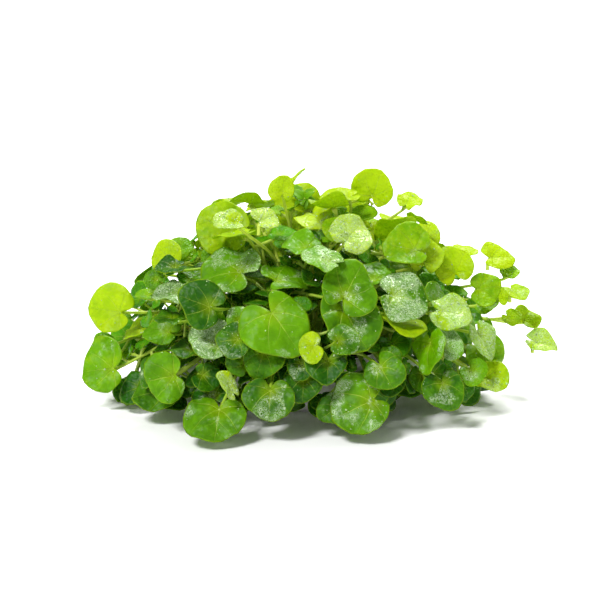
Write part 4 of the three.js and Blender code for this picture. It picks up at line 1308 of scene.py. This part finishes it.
@dataclass
class Greens:
    """All the sprouts: how each leaf looks, and the fine blades and stems."""

    leaves: list[Leaf]
    view: FrontView
    tint_strays: Span = (-0.2, 0.22)
    wetness: tuple[float, ...] = (0.0, 0.1, 0.3, 0.55)
    wetness_strays: Span = (0.0, 0.2)
    dimple: float = 0.45
    dimple_share: float = 0.02
    rear_starts: float = 5.0
    soaked_share: float = 0.35
    soaked: Span = (0.76, 1.0)

    def __post_init__(self) -> None:
        """Makes the shapes that are copied, and draws each leaf's looks."""
        self.blade = Template.blade(columns=40, rows=9)
        self.small_blade = Template.blade(columns=22, rows=5)
        self.tube = Template.tube(sides=8, rings=STEM_RINGS)
        self.short_tube = Template.tube(sides=6, rings=STALK_RINGS)
        self._draw_looks()
        for patch, places in PATCHES.items():
            for place in places:
                self._dress(patch, place)

    def _draw_looks(self) -> None:
        """Draws relief, tint and wetness for each leaf."""
        draw = random.Random(11)
        for leaf in self.leaves:
            # Painted light and shade: the tint follows where the leaf stands, with a random stray.
            leaf.tint = min(1.0, self.view.brightness(leaf.middle) + draw.uniform(*self.tint_strays))
            leaf.wet = draw.choice(self.wetness) + draw.uniform(*self.wetness_strays)
            leaf.relief = Relief.drawn(draw, dimple=self.dimple + self.dimple_share * leaf.form.width)
        splash = random.Random(3)
        for leaf in self.leaves:
            if leaf.middle[1] > self.rear_starts and splash.random() < self.soaked_share:
                leaf.wet = splash.uniform(*self.soaked)

    def _dress(self, patch: Patch, place: Span) -> None:
        """Sets the looks of the foremost leaf at a place in the front view, if there is one.

        Args:
            patch: what the place says.
            place: how far right of and above the view's middle it is.
        """
        near = []
        for leaf in self.leaves:
            across, above, depth = self.view.place(leaf.middle)
            if math.hypot(across - place[0], above - place[1]) < PATCH_REACH:
                near.append((depth, leaf))
        if not near:
            return
        leaf = min(near, key=lambda pair: pair[0])[1]
        # Bright leaves get painted light, dark ones painted shade; the others are made wetter.
        if patch is Patch.BRIGHT:
            leaf.tint = max(leaf.tint, BRIGHT_TINT)
        elif patch is Patch.DARK:
            leaf.tint = min(leaf.tint, DARK_TINT)
        else:
            leaf.wet = PATCH_WETNESS[patch]

    @staticmethod
    def _add_blade(pile: Pile, leaf: Leaf, template: Template) -> None:
        """Adds one fine blade to a pile.

        Args:
            pile: where it is added.
            leaf: the blade's leaf.
            template: the blade that is copied.
        """
        turn = template.layers["turn"]
        share = template.layers["share"]
        sheet = template.layers["sheet"]
        half = HALF_BLADE * np.sqrt(np.maximum(0.0, 1 - share**RIM_ROUNDING))
        points = leaf.surface(turn, share) + leaf.normals(turn, share) * (half * (1 - 2 * sheet))[:, None]
        forward, across = leaf.place(turn, share)
        plane = np.stack((across, forward), axis=1) / leaf.form.width
        pile.add(template, points, corner_facts(leaf.tint, leaf.wet, share, sheet), plane, BLADE_SLOT)

    def _add_stem(self, pile: Pile, leaf: Leaf, template: Template) -> None:
        """Adds one fine stem to a pile, up to the dimple of its blade.

        Args:
            pile: where it is added.
            leaf: the stem's leaf.
            template: the tube that is copied.
        """
        joints = leaf.stem[:-1] + [leaf.stem[-1] - leaf.out * leaf.relief.dimple]
        self.add_tube(pile, template, joints, STEM_RADII if leaf.main_stem else STALK_RADII, leaf.tint)

    @staticmethod
    def add_tube(pile: Pile, template: Template, joints: list[Array], radii: Span, tint: float) -> None:
        """Adds a round tube to a pile, flared where it runs into its blade.

        Args:
            pile: where it is added.
            template: the tube that is copied.
            joints: the corners of its path.
            radii: its radius at the base and short of the flare at the tip.
            tint: how bright it is.
        """
        turn = template.layers["turn"]
        share = template.layers["share"]
        rings = int(np.unique(np.round(share, 4)).size)
        path = rounded_path(joints, rings)
        fronts, sides = carried_frames(path)
        ring = np.rint(share * (rings - 1)).astype(int)
        length = float(np.linalg.norm(np.diff(path, axis=0), axis=1).sum())
        flare = FLARE_WIDTH * np.exp(-(((1 - share) * length / FLARE_LENGTH) ** 2))
        radius = radii[0] + (radii[1] - radii[0]) * share + flare
        points = path[ring] + fronts[ring] * (radius * np.cos(turn))[:, None]
        points = points + sides[ring] * (radius * np.sin(turn))[:, None]
        facts = corner_facts(tint, 0.0, share, np.zeros(len(turn)))
        pile.add(template, points, facts, np.stack((turn, share), axis=1), STEM_SLOT)

    def make_sprouts(self, blade: Material, stem: Material, room: "Room") -> None:
        """Makes one fine piece in place of each packed cluster of sprouts.

        Args:
            blade: the finish of the blades.
            stem: the finish of the stems.
            room: tells which places are free for the small leaves between the seed leaves.
        """
        sprig = Sprig()
        draw = random.Random(29)
        for node in sorted({leaf.node for leaf in self.leaves}):
            pile = Pile("greens_" + node[-2:])
            for leaf in (x for x in self.leaves if x.node == node):
                self._add_blade(pile, leaf, self.blade)
                self._add_stem(pile, leaf, self.tube if leaf.main_stem else self.short_tube)
                if not leaf.main_stem:
                    sprig.grow(pile, leaf, room, self, draw)
            piece = pile.make([blade, stem])
            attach(piece, "root")
            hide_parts(node)
            LOG.info("%s in place of %s", pile.name, node)

    def make_undergrowth(self, leaves: list[Leaf], blade: Material, stem: Material) -> None:
        """Makes the shaded leaves inside the mound, one piece for each quarter of it.

        Args:
            leaves: the shaded leaves.
            blade: the finish of their blades.
            stem: the finish of their stalks.
        """
        for quarter in range(4):
            pile = Pile(f"undergrowth_{quarter + 1}")
            for leaf in leaves:
                if quarter != (2 if leaf.middle[1] > 0 else 0) + (1 if leaf.middle[0] > 0 else 0):
                    continue
                self._add_blade(pile, leaf, self.small_blade)
                self._add_stem(pile, leaf, self.short_tube)
            piece = pile.make([blade, stem])
            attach(piece, "root")
            LOG.info("%s", pile.name)


@dataclass(frozen=True)
class Dew:
    """The drops of water that stand on the leaves: how thickly, and how big in millimetres."""

    dry: float = 0.03
    soaked: float = 0.6
    soaks_from: float = 0.5
    inmost: float = 0.03
    outmost: float = 0.93
    smallest: float = 0.09
    common_spread: float = 0.1
    rare_spread: float = 0.22
    rarity: int = 8
    sunk: float = 0.02
    most_in_piece: int = 4600

    def _count(self, leaf: Leaf) -> int:
        """How many drops stand on a leaf."""
        soaked = max(0.0, leaf.wet - self.soaks_from) / (1 - self.soaks_from)
        return int((self.dry + self.soaked * soaked**2) * leaf.form.width**2)

    def make(self, leaves: list[Leaf], water: Material) -> None:
        """Makes the drops, in pieces of a few thousand.

        Args:
            leaves: the leaves that they stand on.
            water: their finish.
        """
        template = Template.drop()
        piles = [Pile("dew_1")]
        draw = np.random.default_rng(5)
        for leaf in leaves:
            count = self._count(leaf)
            turn = draw.uniform(-math.pi, math.pi, count)
            share = np.sqrt(draw.uniform(self.inmost, self.outmost, count))
            size = self.smallest + self.common_spread * draw.random(count)
            size = size + self.rare_spread * draw.random(count) ** self.rarity
            if len(piles[-1].sizes) > self.most_in_piece:
                piles.append(Pile(f"dew_{len(piles) + 1}"))
            spots = leaf.surface(turn, share)
            for spot, up, radius in zip(spots, leaf.normals(turn, share), size):
                side = unit(np.cross(up, leaf.along + 0.1 * leaf.side))
                ways = np.stack((np.cross(side, up), side, up))
                points = spot + up * (HALF_BLADE - self.sunk) + template.corners * radius @ ways
                facts = np.array((leaf.tint, leaf.wet, 0.0, 0.0))
                piles[-1].add(template, points, facts, template.corners[:, :2])
        for pile in piles:
            piece = pile.make([water])
            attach(piece, "root")
            LOG.info("%s: %d drops", pile.name, len(pile.sizes))


class Room:
    """Tells how near a place comes to what is already there."""

    def __init__(self, solids: list[Piece]) -> None:
        """Starts with nothing taken.

        Args:
            solids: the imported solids, whose surfaces are kept clear of.
        """
        corners: list[Vector] = []
        faces: list[tuple[int, ...]] = []
        for solid in solids:
            start = len(corners)
            corners += [vert.co / MM for vert in solid.data.vertices]
            faces += [tuple(start + i for i in face.vertices) for face in solid.data.polygons]
        self.tree = BVHTree.FromPolygons(corners, faces)
        self.taken: list[tuple[Array, Array]] = []

    def free(self, points: Array, clear: float) -> bool:
        """True if every point stands that far off the solids."""
        return all(self.tree.find_nearest(Vector(point), clear)[0] is None for point in points)

    def untaken(self, points: Array, clear: float) -> bool:
        """Tells whether points stand clear of those taken before.

        Args:
            points: the points.
            clear: how far off every one has to stand.

        Returns:
            True if they all do.
        """
        middle = points.mean(axis=0)
        reach = float(np.linalg.norm(points - middle, axis=1).max()) + clear
        for centre, others in self.taken:
            if np.linalg.norm(centre - middle) > 3 * reach:
                continue
            if np.linalg.norm(points[:, None] - others[None], axis=2).min() < clear:
                return False
        return True

    def take(self, points: Array) -> None:
        """Marks points as taken."""
        self.taken.append((points.mean(axis=0), points))


@dataclass
class Undergrowth:
    """A layer of small shaded leaves on short stalks off the stems, which fill the inside of the mound."""

    view: FrontView
    mound: tuple[float, float, float] = (59.0, 46.0, 60.0)
    deepest: float = 0.15
    outermost: float = 0.97
    ground_gap: float = 1.0
    soil_top: float = 16.0
    pot_radius: float = 30.0
    most: int = 260
    tries: int = 20000
    clear: float = 0.62
    apart: float = 1.15
    lowest_ring: int = 5
    rings_left: int = 4
    highest_root: float = 60.0
    reaches: Span = (2.0, 8.0)
    stalk_pull: Span = (0.7, 0.9)
    rise: float = 0.2
    face_pull: tuple[float, float, float] = (0.8, 0.55, 0.75)
    bend: Span = (1.3, 0.9)
    neck: float = 0.3
    widths: Span = (5.0, 11.0)
    ratios: Span = (0.85, 1.05)
    tips: Span = (-0.02, 0.08)
    skews: Span = (-0.05, 0.05)
    cups: Span = (-0.1, 0.4)
    folds: Span = (-0.02, 0.25)
    waves: Span = (-0.04, 0.04)
    dimple: float = 0.4
    tint_strays: Span = (-0.12, 0.12)
    wetness: Span = (0.0, 0.45)
    seed: int = 71

    def grow(self, leaves: list[Leaf], room: Room) -> list[Leaf]:
        """Grows the leaves where there is room.

        Args:
            leaves: the sprouts' own leaves, off whose stems they grow.
            room: what has to be kept clear of.

        Returns:
            The small leaves.
        """
        draw = random.Random(self.seed)
        paths = [rounded_path(leaf.stem, STEM_RINGS) for leaf in leaves if leaf.main_stem]
        grown: list[Leaf] = []
        for _ in range(self.tries):
            if len(grown) == self.most:
                break
            path = draw.choice(paths)
            root = path[draw.randint(self.lowest_ring, STEM_RINGS - self.rings_left)]
            if root[2] > self.highest_root:
                continue
            leaf = self._drawn(root, draw)
            if not room.free(np.array((leaf.middle, leaf.stalk)), self.clear):
                continue
            points = self._samples(leaf)
            if self._inside(points) and room.free(points, self.clear) and room.untaken(points, self.apart):
                room.take(points)
                grown.append(leaf)
        LOG.info("%d small leaves of %d", len(grown), self.most)
        return grown

    def _drawn(self, root: Array, draw: random.Random) -> Leaf:
        """Draws a small leaf.

        Args:
            root: the place on a stem that it grows from.
            draw: the stream of draws.

        Returns:
            The leaf.
        """
        outward = unit(root / np.array(self.mound) ** 2)
        stray, lean = (np.array([draw.gauss(0, 1) for _ in range(3)]) for _ in range(2))
        way = unit(outward * self.stalk_pull[0] + unit(stray) * self.stalk_pull[1] + UP * self.rise)
        facing, rising, leaning = self.face_pull
        out = unit(outward * facing + UP * rising + unit(lean) * leaning)
        along = unit(way - out * (way @ out))
        stalk = root + way * draw.uniform(*self.reaches)
        form = BladeForm(
            width=draw.uniform(*self.widths),
            ratio=draw.uniform(*self.ratios),
            tip=draw.uniform(*self.tips),
            skew=draw.uniform(*self.skews),
            cup=draw.uniform(*self.cups),
            fold=draw.uniform(*self.folds),
            wave_sine=draw.uniform(*self.waves),
            wave_cosine=draw.uniform(*self.waves),
        )
        leaf = Leaf(stalk, along, np.cross(out, along), out, form, main_stem=False)
        leaf.stem = [root, stalk - out * self.bend[0] - along * self.bend[1], stalk - out * self.neck]
        depth = float(np.linalg.norm(leaf.middle / np.array(self.mound)))
        # Painted shade: the deeper inside the mound, the darker the tint, on top of the painted light.
        leaf.tint = self.view.brightness(leaf.middle) * depth**2 + draw.uniform(*self.tint_strays)
        leaf.wet = draw.uniform(*self.wetness)
        leaf.relief = Relief.drawn(draw, dimple=self.dimple)
        return leaf

    @staticmethod
    def _samples(leaf: Leaf) -> Array:
        """Picks points all over a leaf.

        Args:
            leaf: the leaf.

        Returns:
            Points of its blade, and of its stalk short of the stem that it grows from.
        """
        rounds = (1.0, 0.68, 0.36)
        stem_reach = 2.0
        turns = np.linspace(-math.pi, math.pi, 14, endpoint=False)
        blade = leaf.surface(np.tile(turns, len(rounds)), np.repeat(rounds, len(turns)))
        stalk = rounded_path(leaf.stem, STALK_RINGS)
        off_stem = np.linalg.norm(stalk - leaf.stem[0], axis=1) > stem_reach
        return np.concatenate((blade, stalk[off_stem]))

    def _inside(self, points: Array) -> bool:
        """Tells whether points lie in the mound.

        Args:
            points: the points.

        Returns:
            True if they lie in it, over the ground and out of the pot.
        """
        depth = np.linalg.norm(points / np.array(self.mound), axis=1)
        beside = np.hypot(points[:, 0], points[:, 1]) > self.pot_radius
        off_pot = bool((beside | (points[:, 2] > self.soil_top)).all())
        off_ground = float(points[:, 2].min()) > self.ground_gap
        return off_pot and off_ground and bool(depth.max() < self.outermost and depth.min() > self.deepest)


@dataclass(frozen=True)
class Sprig:
    """The first true leaves between a pair of seed leaves: tiny, narrow and toothed, on one short stalk."""

    length: float = 4.4
    breadth: float = 1.15
    tooth_depth: float = 0.35
    fold: float = 0.35
    droop: float = 0.09
    half_thickness: float = 0.13
    count: int = 3
    sizes: Span = (0.65, 1.1)
    climbs: Span = (0.3, 1.1)
    pull: Span = (0.8, 0.5)
    stray: float = 0.3
    stalk_lengths: Span = (3.5, 6.0)
    stalk_radii: Span = (0.3, 0.16)
    tint: float = 0.55
    stalk_tint: float = 0.6
    off_veins: Span = (0.3, 0.3)
    tries: int = 30
    clear: float = 0.45

    def grow(self, pile: Pile, leaf: Leaf, room: Room, greens: Greens, draw: random.Random) -> None:
        """Adds a sprig at the fork under a leaf, where there is room.

        Args:
            pile: the piece that it is added to.
            leaf: the second leaf of a pair, whose stalk starts at the fork.
            room: what has to be kept clear of.
            greens: gives the shapes that are copied.
            draw: the stream of draws.
        """
        fork = leaf.stem[0]
        template = greens.small_blade
        share = template.layers["share"]
        for _ in range(self.tries):
            lean = np.array([draw.gauss(0, self.stray) for _ in range(3)])
            way = unit(leaf.out * self.pull[0] + UP * self.pull[1] + lean)
            top = fork + way * draw.uniform(*self.stalk_lengths)
            blades = self._drawn(way, leaf.along, draw)
            shapes = [self._blade(template, top, *blade) for blade in blades]
            if not all(room.free(points[::3], self.clear) for points in shapes):
                continue
            facts = corner_facts(self.tint, 0.0, share, template.layers["sheet"])
            for points in shapes:
                pile.add(template, points, facts, np.zeros((len(share), 2)) + self.off_veins, BLADE_SLOT)
            joints = [fork, fork * 0.4 + top * 0.6 + leaf.along * 0.2, top + way * 0.3]
            greens.add_tube(pile, greens.short_tube, joints, self.stalk_radii, self.stalk_tint)
            return

    def _drawn(self, way: Array, along: Array, draw: random.Random) -> list[tuple[Array, Array, float]]:
        """Draws the tiny blades of a sprig.

        Args:
            way: the direction of its stalk.
            along: a direction across that.
            draw: the stream of draws.

        Returns:
            The direction that each blade grows in, the one that it faces, and its size.
        """
        start = draw.uniform(0, 2 * math.pi)
        blades = []
        for i in range(self.count):
            turn = start + i * 2 * math.pi / self.count
            across = unit(np.cross(way, along)) * math.cos(turn) + along * math.sin(turn)
            growing = unit(across + way * draw.uniform(*self.climbs))
            facing = unit(way - growing * (way @ growing))
            blades.append((growing, facing, draw.uniform(*self.sizes)))
        return blades

    def _blade(self, template: Template, root: Array, along: Array, out: Array, size: float) -> Array:
        """Shapes one tiny blade.

        Args:
            template: the blade that is copied.
            root: where it grows from.
            along: the direction that it grows in.
            out: the direction that it faces.
            size: its size, as a share of the plain one.

        Returns:
            Its corners.
        """
        turn = template.layers["turn"]
        share = template.layers["share"]
        side = np.cross(out, along)
        teeth = 1 + self.tooth_depth * np.abs(np.sin(4 * turn)) * share**2
        forward = self.length * size * (0.5 + 0.5 * np.cos(turn) * share)
        across = self.breadth * size * np.sin(turn) * share * teeth * (1 - 0.3 * np.cos(turn))
        height = self.fold * np.abs(across) - self.droop * forward**2 / size
        half = self.half_thickness * np.sqrt(np.maximum(0.0, 1 - share**RIM_ROUNDING))
        height = height + half * (1 - 2 * template.layers["sheet"])
        return root + np.outer(forward, along) + np.outer(across, side) + np.outer(height, out)


def rounded_path(joints: list[Array], count: int) -> Array:
    """A smooth line along some joints.

    Args:
        joints: the corners of a line of straight stretches.
        count: how many points are wanted.

    Returns:
        Points at even steps along the line with its corners rounded.
    """
    cuts = 4
    line = np.array(joints)
    for _ in range(cuts):
        cut = [line[:1]]
        for start, end in zip(line[:-1], line[1:]):
            cut.append(np.stack((start * 0.75 + end * 0.25, start * 0.25 + end * 0.75)))
        cut.append(line[-1:])
        line = np.concatenate(cut)
    steps = np.linalg.norm(np.diff(line, axis=0), axis=1)
    along = np.concatenate(([0.0], np.cumsum(steps)))
    wanted = np.linspace(0.0, along[-1], count)
    return np.stack([np.interp(wanted, along, line[:, axis]) for axis in range(3)], axis=1)


def carried_frames(path: Array) -> tuple[Array, Array]:
    """Two directions across a path, carried along it without twist.

    Args:
        path: the points of the path.

    Returns:
        The two directions at each point.
    """
    front = np.array((0.31, 0.95, 0.02))
    fronts, sides = [], []
    for way in np.gradient(path, axis=0):
        way = unit(way)
        front = unit(front - way * (front @ way))
        fronts.append(front)
        sides.append(np.cross(way, front))
    return np.array(fronts), np.array(sides)


@dataclass(frozen=True)
class Pot:
    """The low round pot and the soil in it, in millimetres."""

    height: float = 16.0
    rim_radius: float = 29.5
    foot_radius: float = 23.5
    wall: float = 2.2
    floor: float = 2.4
    steps: int = 96
    soil_gap: float = 0.35
    soil_edge: float = 12.6
    soil_crown: float = 1.2
    soil_bottom: float = 2.8
    soil_rings: Span = (25.5, 1.1)
    crumb_count: int = 900
    crumb_spread: float = 26.0
    smallest_crumb: float = 0.25
    crumb_range: float = 0.7

    def _outer(self, z: float) -> float:
        """The outside radius at a height."""
        return self.foot_radius + (self.rim_radius - self.foot_radius) * z / self.height

    def _soil_top(self, radius: float) -> float:
        """The height of the soil's even top at a radius."""
        return self.soil_edge + self.soil_crown * (1 - (radius / self.rim_radius) ** 2)

    def _turned(self, name: str, profile: list[Span], rounding: int) -> Piece:
        """Spins a profile into a closed piece.

        Args:
            name: the piece's name.
            profile: radii and heights, from the axis and back to it.
            rounding: the levels by which its faces are rounded.

        Returns:
            The piece.
        """
        bm = bmesh.new()
        verts = [bm.verts.new((radius * MM, 0, z * MM)) for radius, z in profile]
        edges = [bm.edges.new(pair) for pair in zip(verts[:-1], verts[1:])]
        bmesh.ops.spin(
            bm,
            geom=verts + edges,
            cent=(0, 0, 0),
            axis=(0, 0, 1),
            angle=2 * math.pi,
            steps=self.steps,
            use_merge=True,
        )
        bmesh.ops.remove_doubles(bm, verts=bm.verts, dist=1e-6)
        bmesh.ops.recalc_face_normals(bm, faces=bm.faces)
        mesh = bpy.data.meshes.new(name)
        bm.to_mesh(mesh)
        bm.free()
        mesh.polygons.foreach_set("use_smooth", np.ones(len(mesh.polygons), bool))
        piece = placed(name, mesh)
        if rounding:
            rounded = piece.modifiers.new("rounded", "SUBSURF")
            rounded.levels = rounded.render_levels = rounding
        return piece

    def make_pot(self, glaze: Material) -> None:
        """Makes the glazed pot, with a soft foot edge and a rounded lip.

        Args:
            glaze: its finish.
        """
        top = self.height
        rim = self.rim_radius
        foot = self.foot_radius
        bottom = [(0, 0), (foot - 3.2, 0), (foot - 1.4, 0), (foot - 0.6, 0.12), (foot - 0.08, 0.6)]
        outside = [(foot + 0.15, 1.2), (self._outer(4), 4), (self._outer(9), 9), (rim - 0.75, top - 2)]
        lip = [
            (rim - 0.35, top - 1.1), (rim - 0.45, top - 0.4), (rim - 1.1, top - 0.02),
            (rim - 1.75, top - 0.35), (rim - 2.1, top - 1.1),
        ]
        inside = [(self._outer(z) - self.wall, z) for z in (top - 3, 8, 4.6)]
        corner = [(self._outer(3.4) - self.wall - 0.5, 3.2), (self._outer(2.6) - self.wall - 1.5, 2.5)]
        profile = [*bottom, *outside, *lip, *inside, *corner, (12, self.floor), (0, self.floor)]
        piece = self._turned("glazed_pot", profile, 1)
        piece.data.materials.append(glaze)
        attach(piece, "root")
        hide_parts("pot")
        LOG.info("%s", piece.name)

    def make_soil(self, soil: Material) -> None:
        """Makes the soil plug with an uneven top.

        Args:
            soil: its finish.
        """
        low = self.soil_bottom
        inset = self.wall + self.soil_gap
        side = [(self._outer(z) - inset, z) for z in (5.0, 9.0, self.soil_edge - 0.5)]
        start, step = self.soil_rings
        top = [(radius, self._soil_top(radius)) for radius in np.arange(start, 0, -step)]
        bottom = [(0, low), (18, low), (self._outer(low) - self.wall - 2, low + 0.05)]
        profile = [*bottom, *side, *top, (0, self._soil_top(0))]
        piece = self._turned("potting_soil", profile, 0)
        for vert in piece.data.vertices:
            if vert.co.z > (self.soil_edge - 0.2) * MM:
                lump = noise.noise(vert.co * 420) * 0.5 + noise.noise(vert.co * 1100) * 0.35
                vert.co.z += lump * MM
        piece.data.materials.append(soil)
        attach(piece, "root")
        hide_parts("soil")
        LOG.info("%s", piece.name)

    def make_crumbs(self, soil: Material) -> None:
        """Strews crumbs over the soil.

        Args:
            soil: their finish.
        """
        crumbs = Pile("soil_crumbs")
        pebble = Template.pebble()
        draw = np.random.default_rng(21)
        facts = np.array((0.5, 0, 0, 0))
        for _ in range(self.crumb_count):
            radius = self.crumb_spread * math.sqrt(draw.random())
            round_way = draw.uniform(0, 2 * math.pi)
            size = self.smallest_crumb + self.crumb_range * draw.random() ** 3
            height = self._soil_top(radius) + size * 0.2
            spot = np.array((radius * math.cos(round_way), radius * math.sin(round_way), height))
            squash = draw.uniform(0.6, 1.2, 3)
            points = spot + pebble.corners * size * squash
            points = points + draw.normal(0, 0.08 * size, pebble.corners.shape)
            crumbs.add(pebble, points, facts, pebble.corners[:, :2])
        loose = crumbs.make([soil])
        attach(loose, "root")
        LOG.info("%s: %d crumbs", loose.name, self.crumb_count)


@dataclass(frozen=True)
class Studio:
    """The plain pale floor and the soft lights."""

    floor_radius: float = 6.0
    floor_colour: Colour = (0.93, 0.93, 0.93)
    floor_roughness: float = 0.9
    fill_strength: float = 0.42
    mirrored_strength: float = 0.2
    key_way: tuple[float, float, float] = (-0.45, -0.6, 0.9)
    key_strength: float = 3.3
    back_way: tuple[float, float, float] = (0.2, 0.6, 0.95)
    back_strength: float = 4.0
    softness: float = 15.0

    def build(self) -> None:
        """Makes the floor, the lights and the surroundings."""
        self._make_floor()
        self._make_world()
        self._lamp("key", self.key_way, self.key_strength)
        self._lamp("back", self.back_way, self.back_strength)
        settings = bpy.context.scene.view_settings
        settings.view_transform = "Standard"
        settings.look = "None"

    def _make_floor(self) -> None:
        """Makes the pale floor."""
        bm = bmesh.new()
        bmesh.ops.create_circle(bm, cap_ends=True, segments=64, radius=self.floor_radius)
        mesh = bpy.data.meshes.new("floor")
        bm.to_mesh(mesh)
        bm.free()
        floor = placed("floor", mesh)
        material, nodes, output = new_material("pale_floor")
        plain = nodes.add("ShaderNodeBsdfPrincipled")
        plain.inputs["Base Color"].default_value = (*self.floor_colour, 1.0)
        plain.inputs["Roughness"].default_value = self.floor_roughness
        nodes.feed(output.inputs["Surface"], plain.outputs[0])
        mesh.materials.append(material)

    def _make_world(self) -> None:
        """Makes pale surroundings, which light the mound less than they show, and mirror in it least."""
        world = bpy.data.worlds.new("studio")
        bpy.context.scene.world = world
        world.use_nodes = True
        world.node_tree.nodes.clear()
        nodes = Nodes(world.node_tree)
        white = (1.0, 1.0, 1.0)
        ray = nodes.add("ShaderNodeLightPath").outputs
        shader = nodes.add("ShaderNodeBackground", None, {"Strength": 1.0, "Color": white}).outputs[0]
        strengths = {"Is Diffuse Ray": self.fill_strength, "Is Glossy Ray": self.mirrored_strength}
        for kind, strength in strengths.items():
            light = nodes.add("ShaderNodeBackground", None, {"Strength": strength, "Color": white})
            parts = {0: ray[kind], 1: shader, 2: light.outputs[0]}
            shader = nodes.add("ShaderNodeMixShader", None, parts).outputs[0]
        nodes.add("ShaderNodeOutputWorld", None, {"Surface": shader})

    def _lamp(self, name: str, way: tuple[float, float, float], strength: float) -> None:
        """Adds a wide soft light.

        Args:
            name: its name.
            way: the direction that it shines from.
            strength: how strong it is.
        """
        data = bpy.data.lights.new(name, "SUN")
        data.energy = strength
        data.angle = math.radians(self.softness)
        lamp = placed(name, data)
        lamp.location = way
        lamp.rotation_euler = Vector(way).to_track_quat("Z", "Y").to_euler()


def blade_finishes() -> tuple[Material, Material]:
    """Makes the skins of the leaf blades.

    Returns:
        The skin of the seed leaves, and a darker copy, painted shade, for the leaves inside the mound.
    """
    lit = BladeFinish(
        "leaf_blade",
        deep=(0.012, 0.085, 0.001),
        mid=(0.14, 0.37, 0.001),
        bright=(0.52, 0.7, 0.004),
        vein=(0.52, 0.7, 0.08),
        under=(0.33, 0.56, 0.008),
        painted_sheen=(0.74, 0.9, 0.56),
        glow=(0.48, 0.68, 0.002),
    )
    # Painted shade: darker mid, bright and glow greens for the leaves inside the mound.
    shaded = replace(
        lit,
        name="shaded_blade",
        mid=(0.09, 0.34, 0.001),
        bright=(0.4, 0.66, 0.003),
        glow=(0.3, 0.6, 0.001),
    )
    veins = vein_pattern()
    beads = bead_pattern()
    return lit.make(veins, beads), shaded.make(veins, beads)


def undergrowth_layers(view: FrontView) -> tuple[Undergrowth, ...]:
    """The layers of small leaves, in the order in which they take up the room.

    Args:
        view: gives the painted light and shade of the leaves.

    Returns:
        A skirt over the pot, the inner leaves, the smallest between them, and a second skirt.
    """
    skirt = Undergrowth(
        view,
        most=180,
        tries=26000,
        highest_root=26.0,
        widths=(7.0, 12.0),
        reaches=(3.0, 17.0),
        outermost=1.0,
        rise=-0.5,
        seed=37,
    )
    finest = Undergrowth(view, most=420, tries=16000, widths=(3.5, 6.5), reaches=(1.5, 5.0), seed=53)
    fringe = replace(
        skirt, most=160, tries=16000, widths=(4.0, 7.5), reaches=(2.0, 12.0), rise=-0.4, seed=91
    )
    return skirt, Undergrowth(view), finest, fringe


def main() -> None:
    """Builds the potted greens, the floor, the lights and the camera."""
    logging.basicConfig(level=logging.INFO, format="%(name)s: %(message)s")
    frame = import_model()
    view = FrontView()
    view.make_camera()
    Studio().build()
    blade, shaded_blade = blade_finishes()
    stem = StemFinish("stem", low=(0.52, 0.68, 0.13), high=(0.4, 0.62, 0.04), sunlit=(0.74, 0.82, 0.12))
    leaves = []
    for name in sorted(frame["nodes"]):
        if name.startswith("sprouts"):
            leaves += SproutReader(name, frame["nodes"][name]).leaves()
    LOG.info("%d leaves", len(leaves))
    room = Room(list(frame["nodes"].values()))
    greens = Greens(leaves, view)
    stem_skin = stem.make()
    greens.make_sprouts(blade, stem_skin, room)
    shaded = [leaf for layer in undergrowth_layers(view) for leaf in layer.grow(leaves, room)]
    greens.make_undergrowth(shaded, shaded_blade, stem_skin)
    Dew().make(leaves, WaterFinish("water", body=(0.64, 0.86, 0.38)).make())
    pot = Pot()
    soil = SoilFinish("potting_soil", dark=(0.012, 0.008, 0.005), light=(0.07, 0.045, 0.026)).make()
    pot.make_pot(GlazeFinish("white_glaze", body=(0.82, 0.81, 0.79), shade=(0.7, 0.69, 0.66)).make())
    pot.make_soil(soil)
    pot.make_crumbs(soil)


if __name__ == "__main__":
    main()
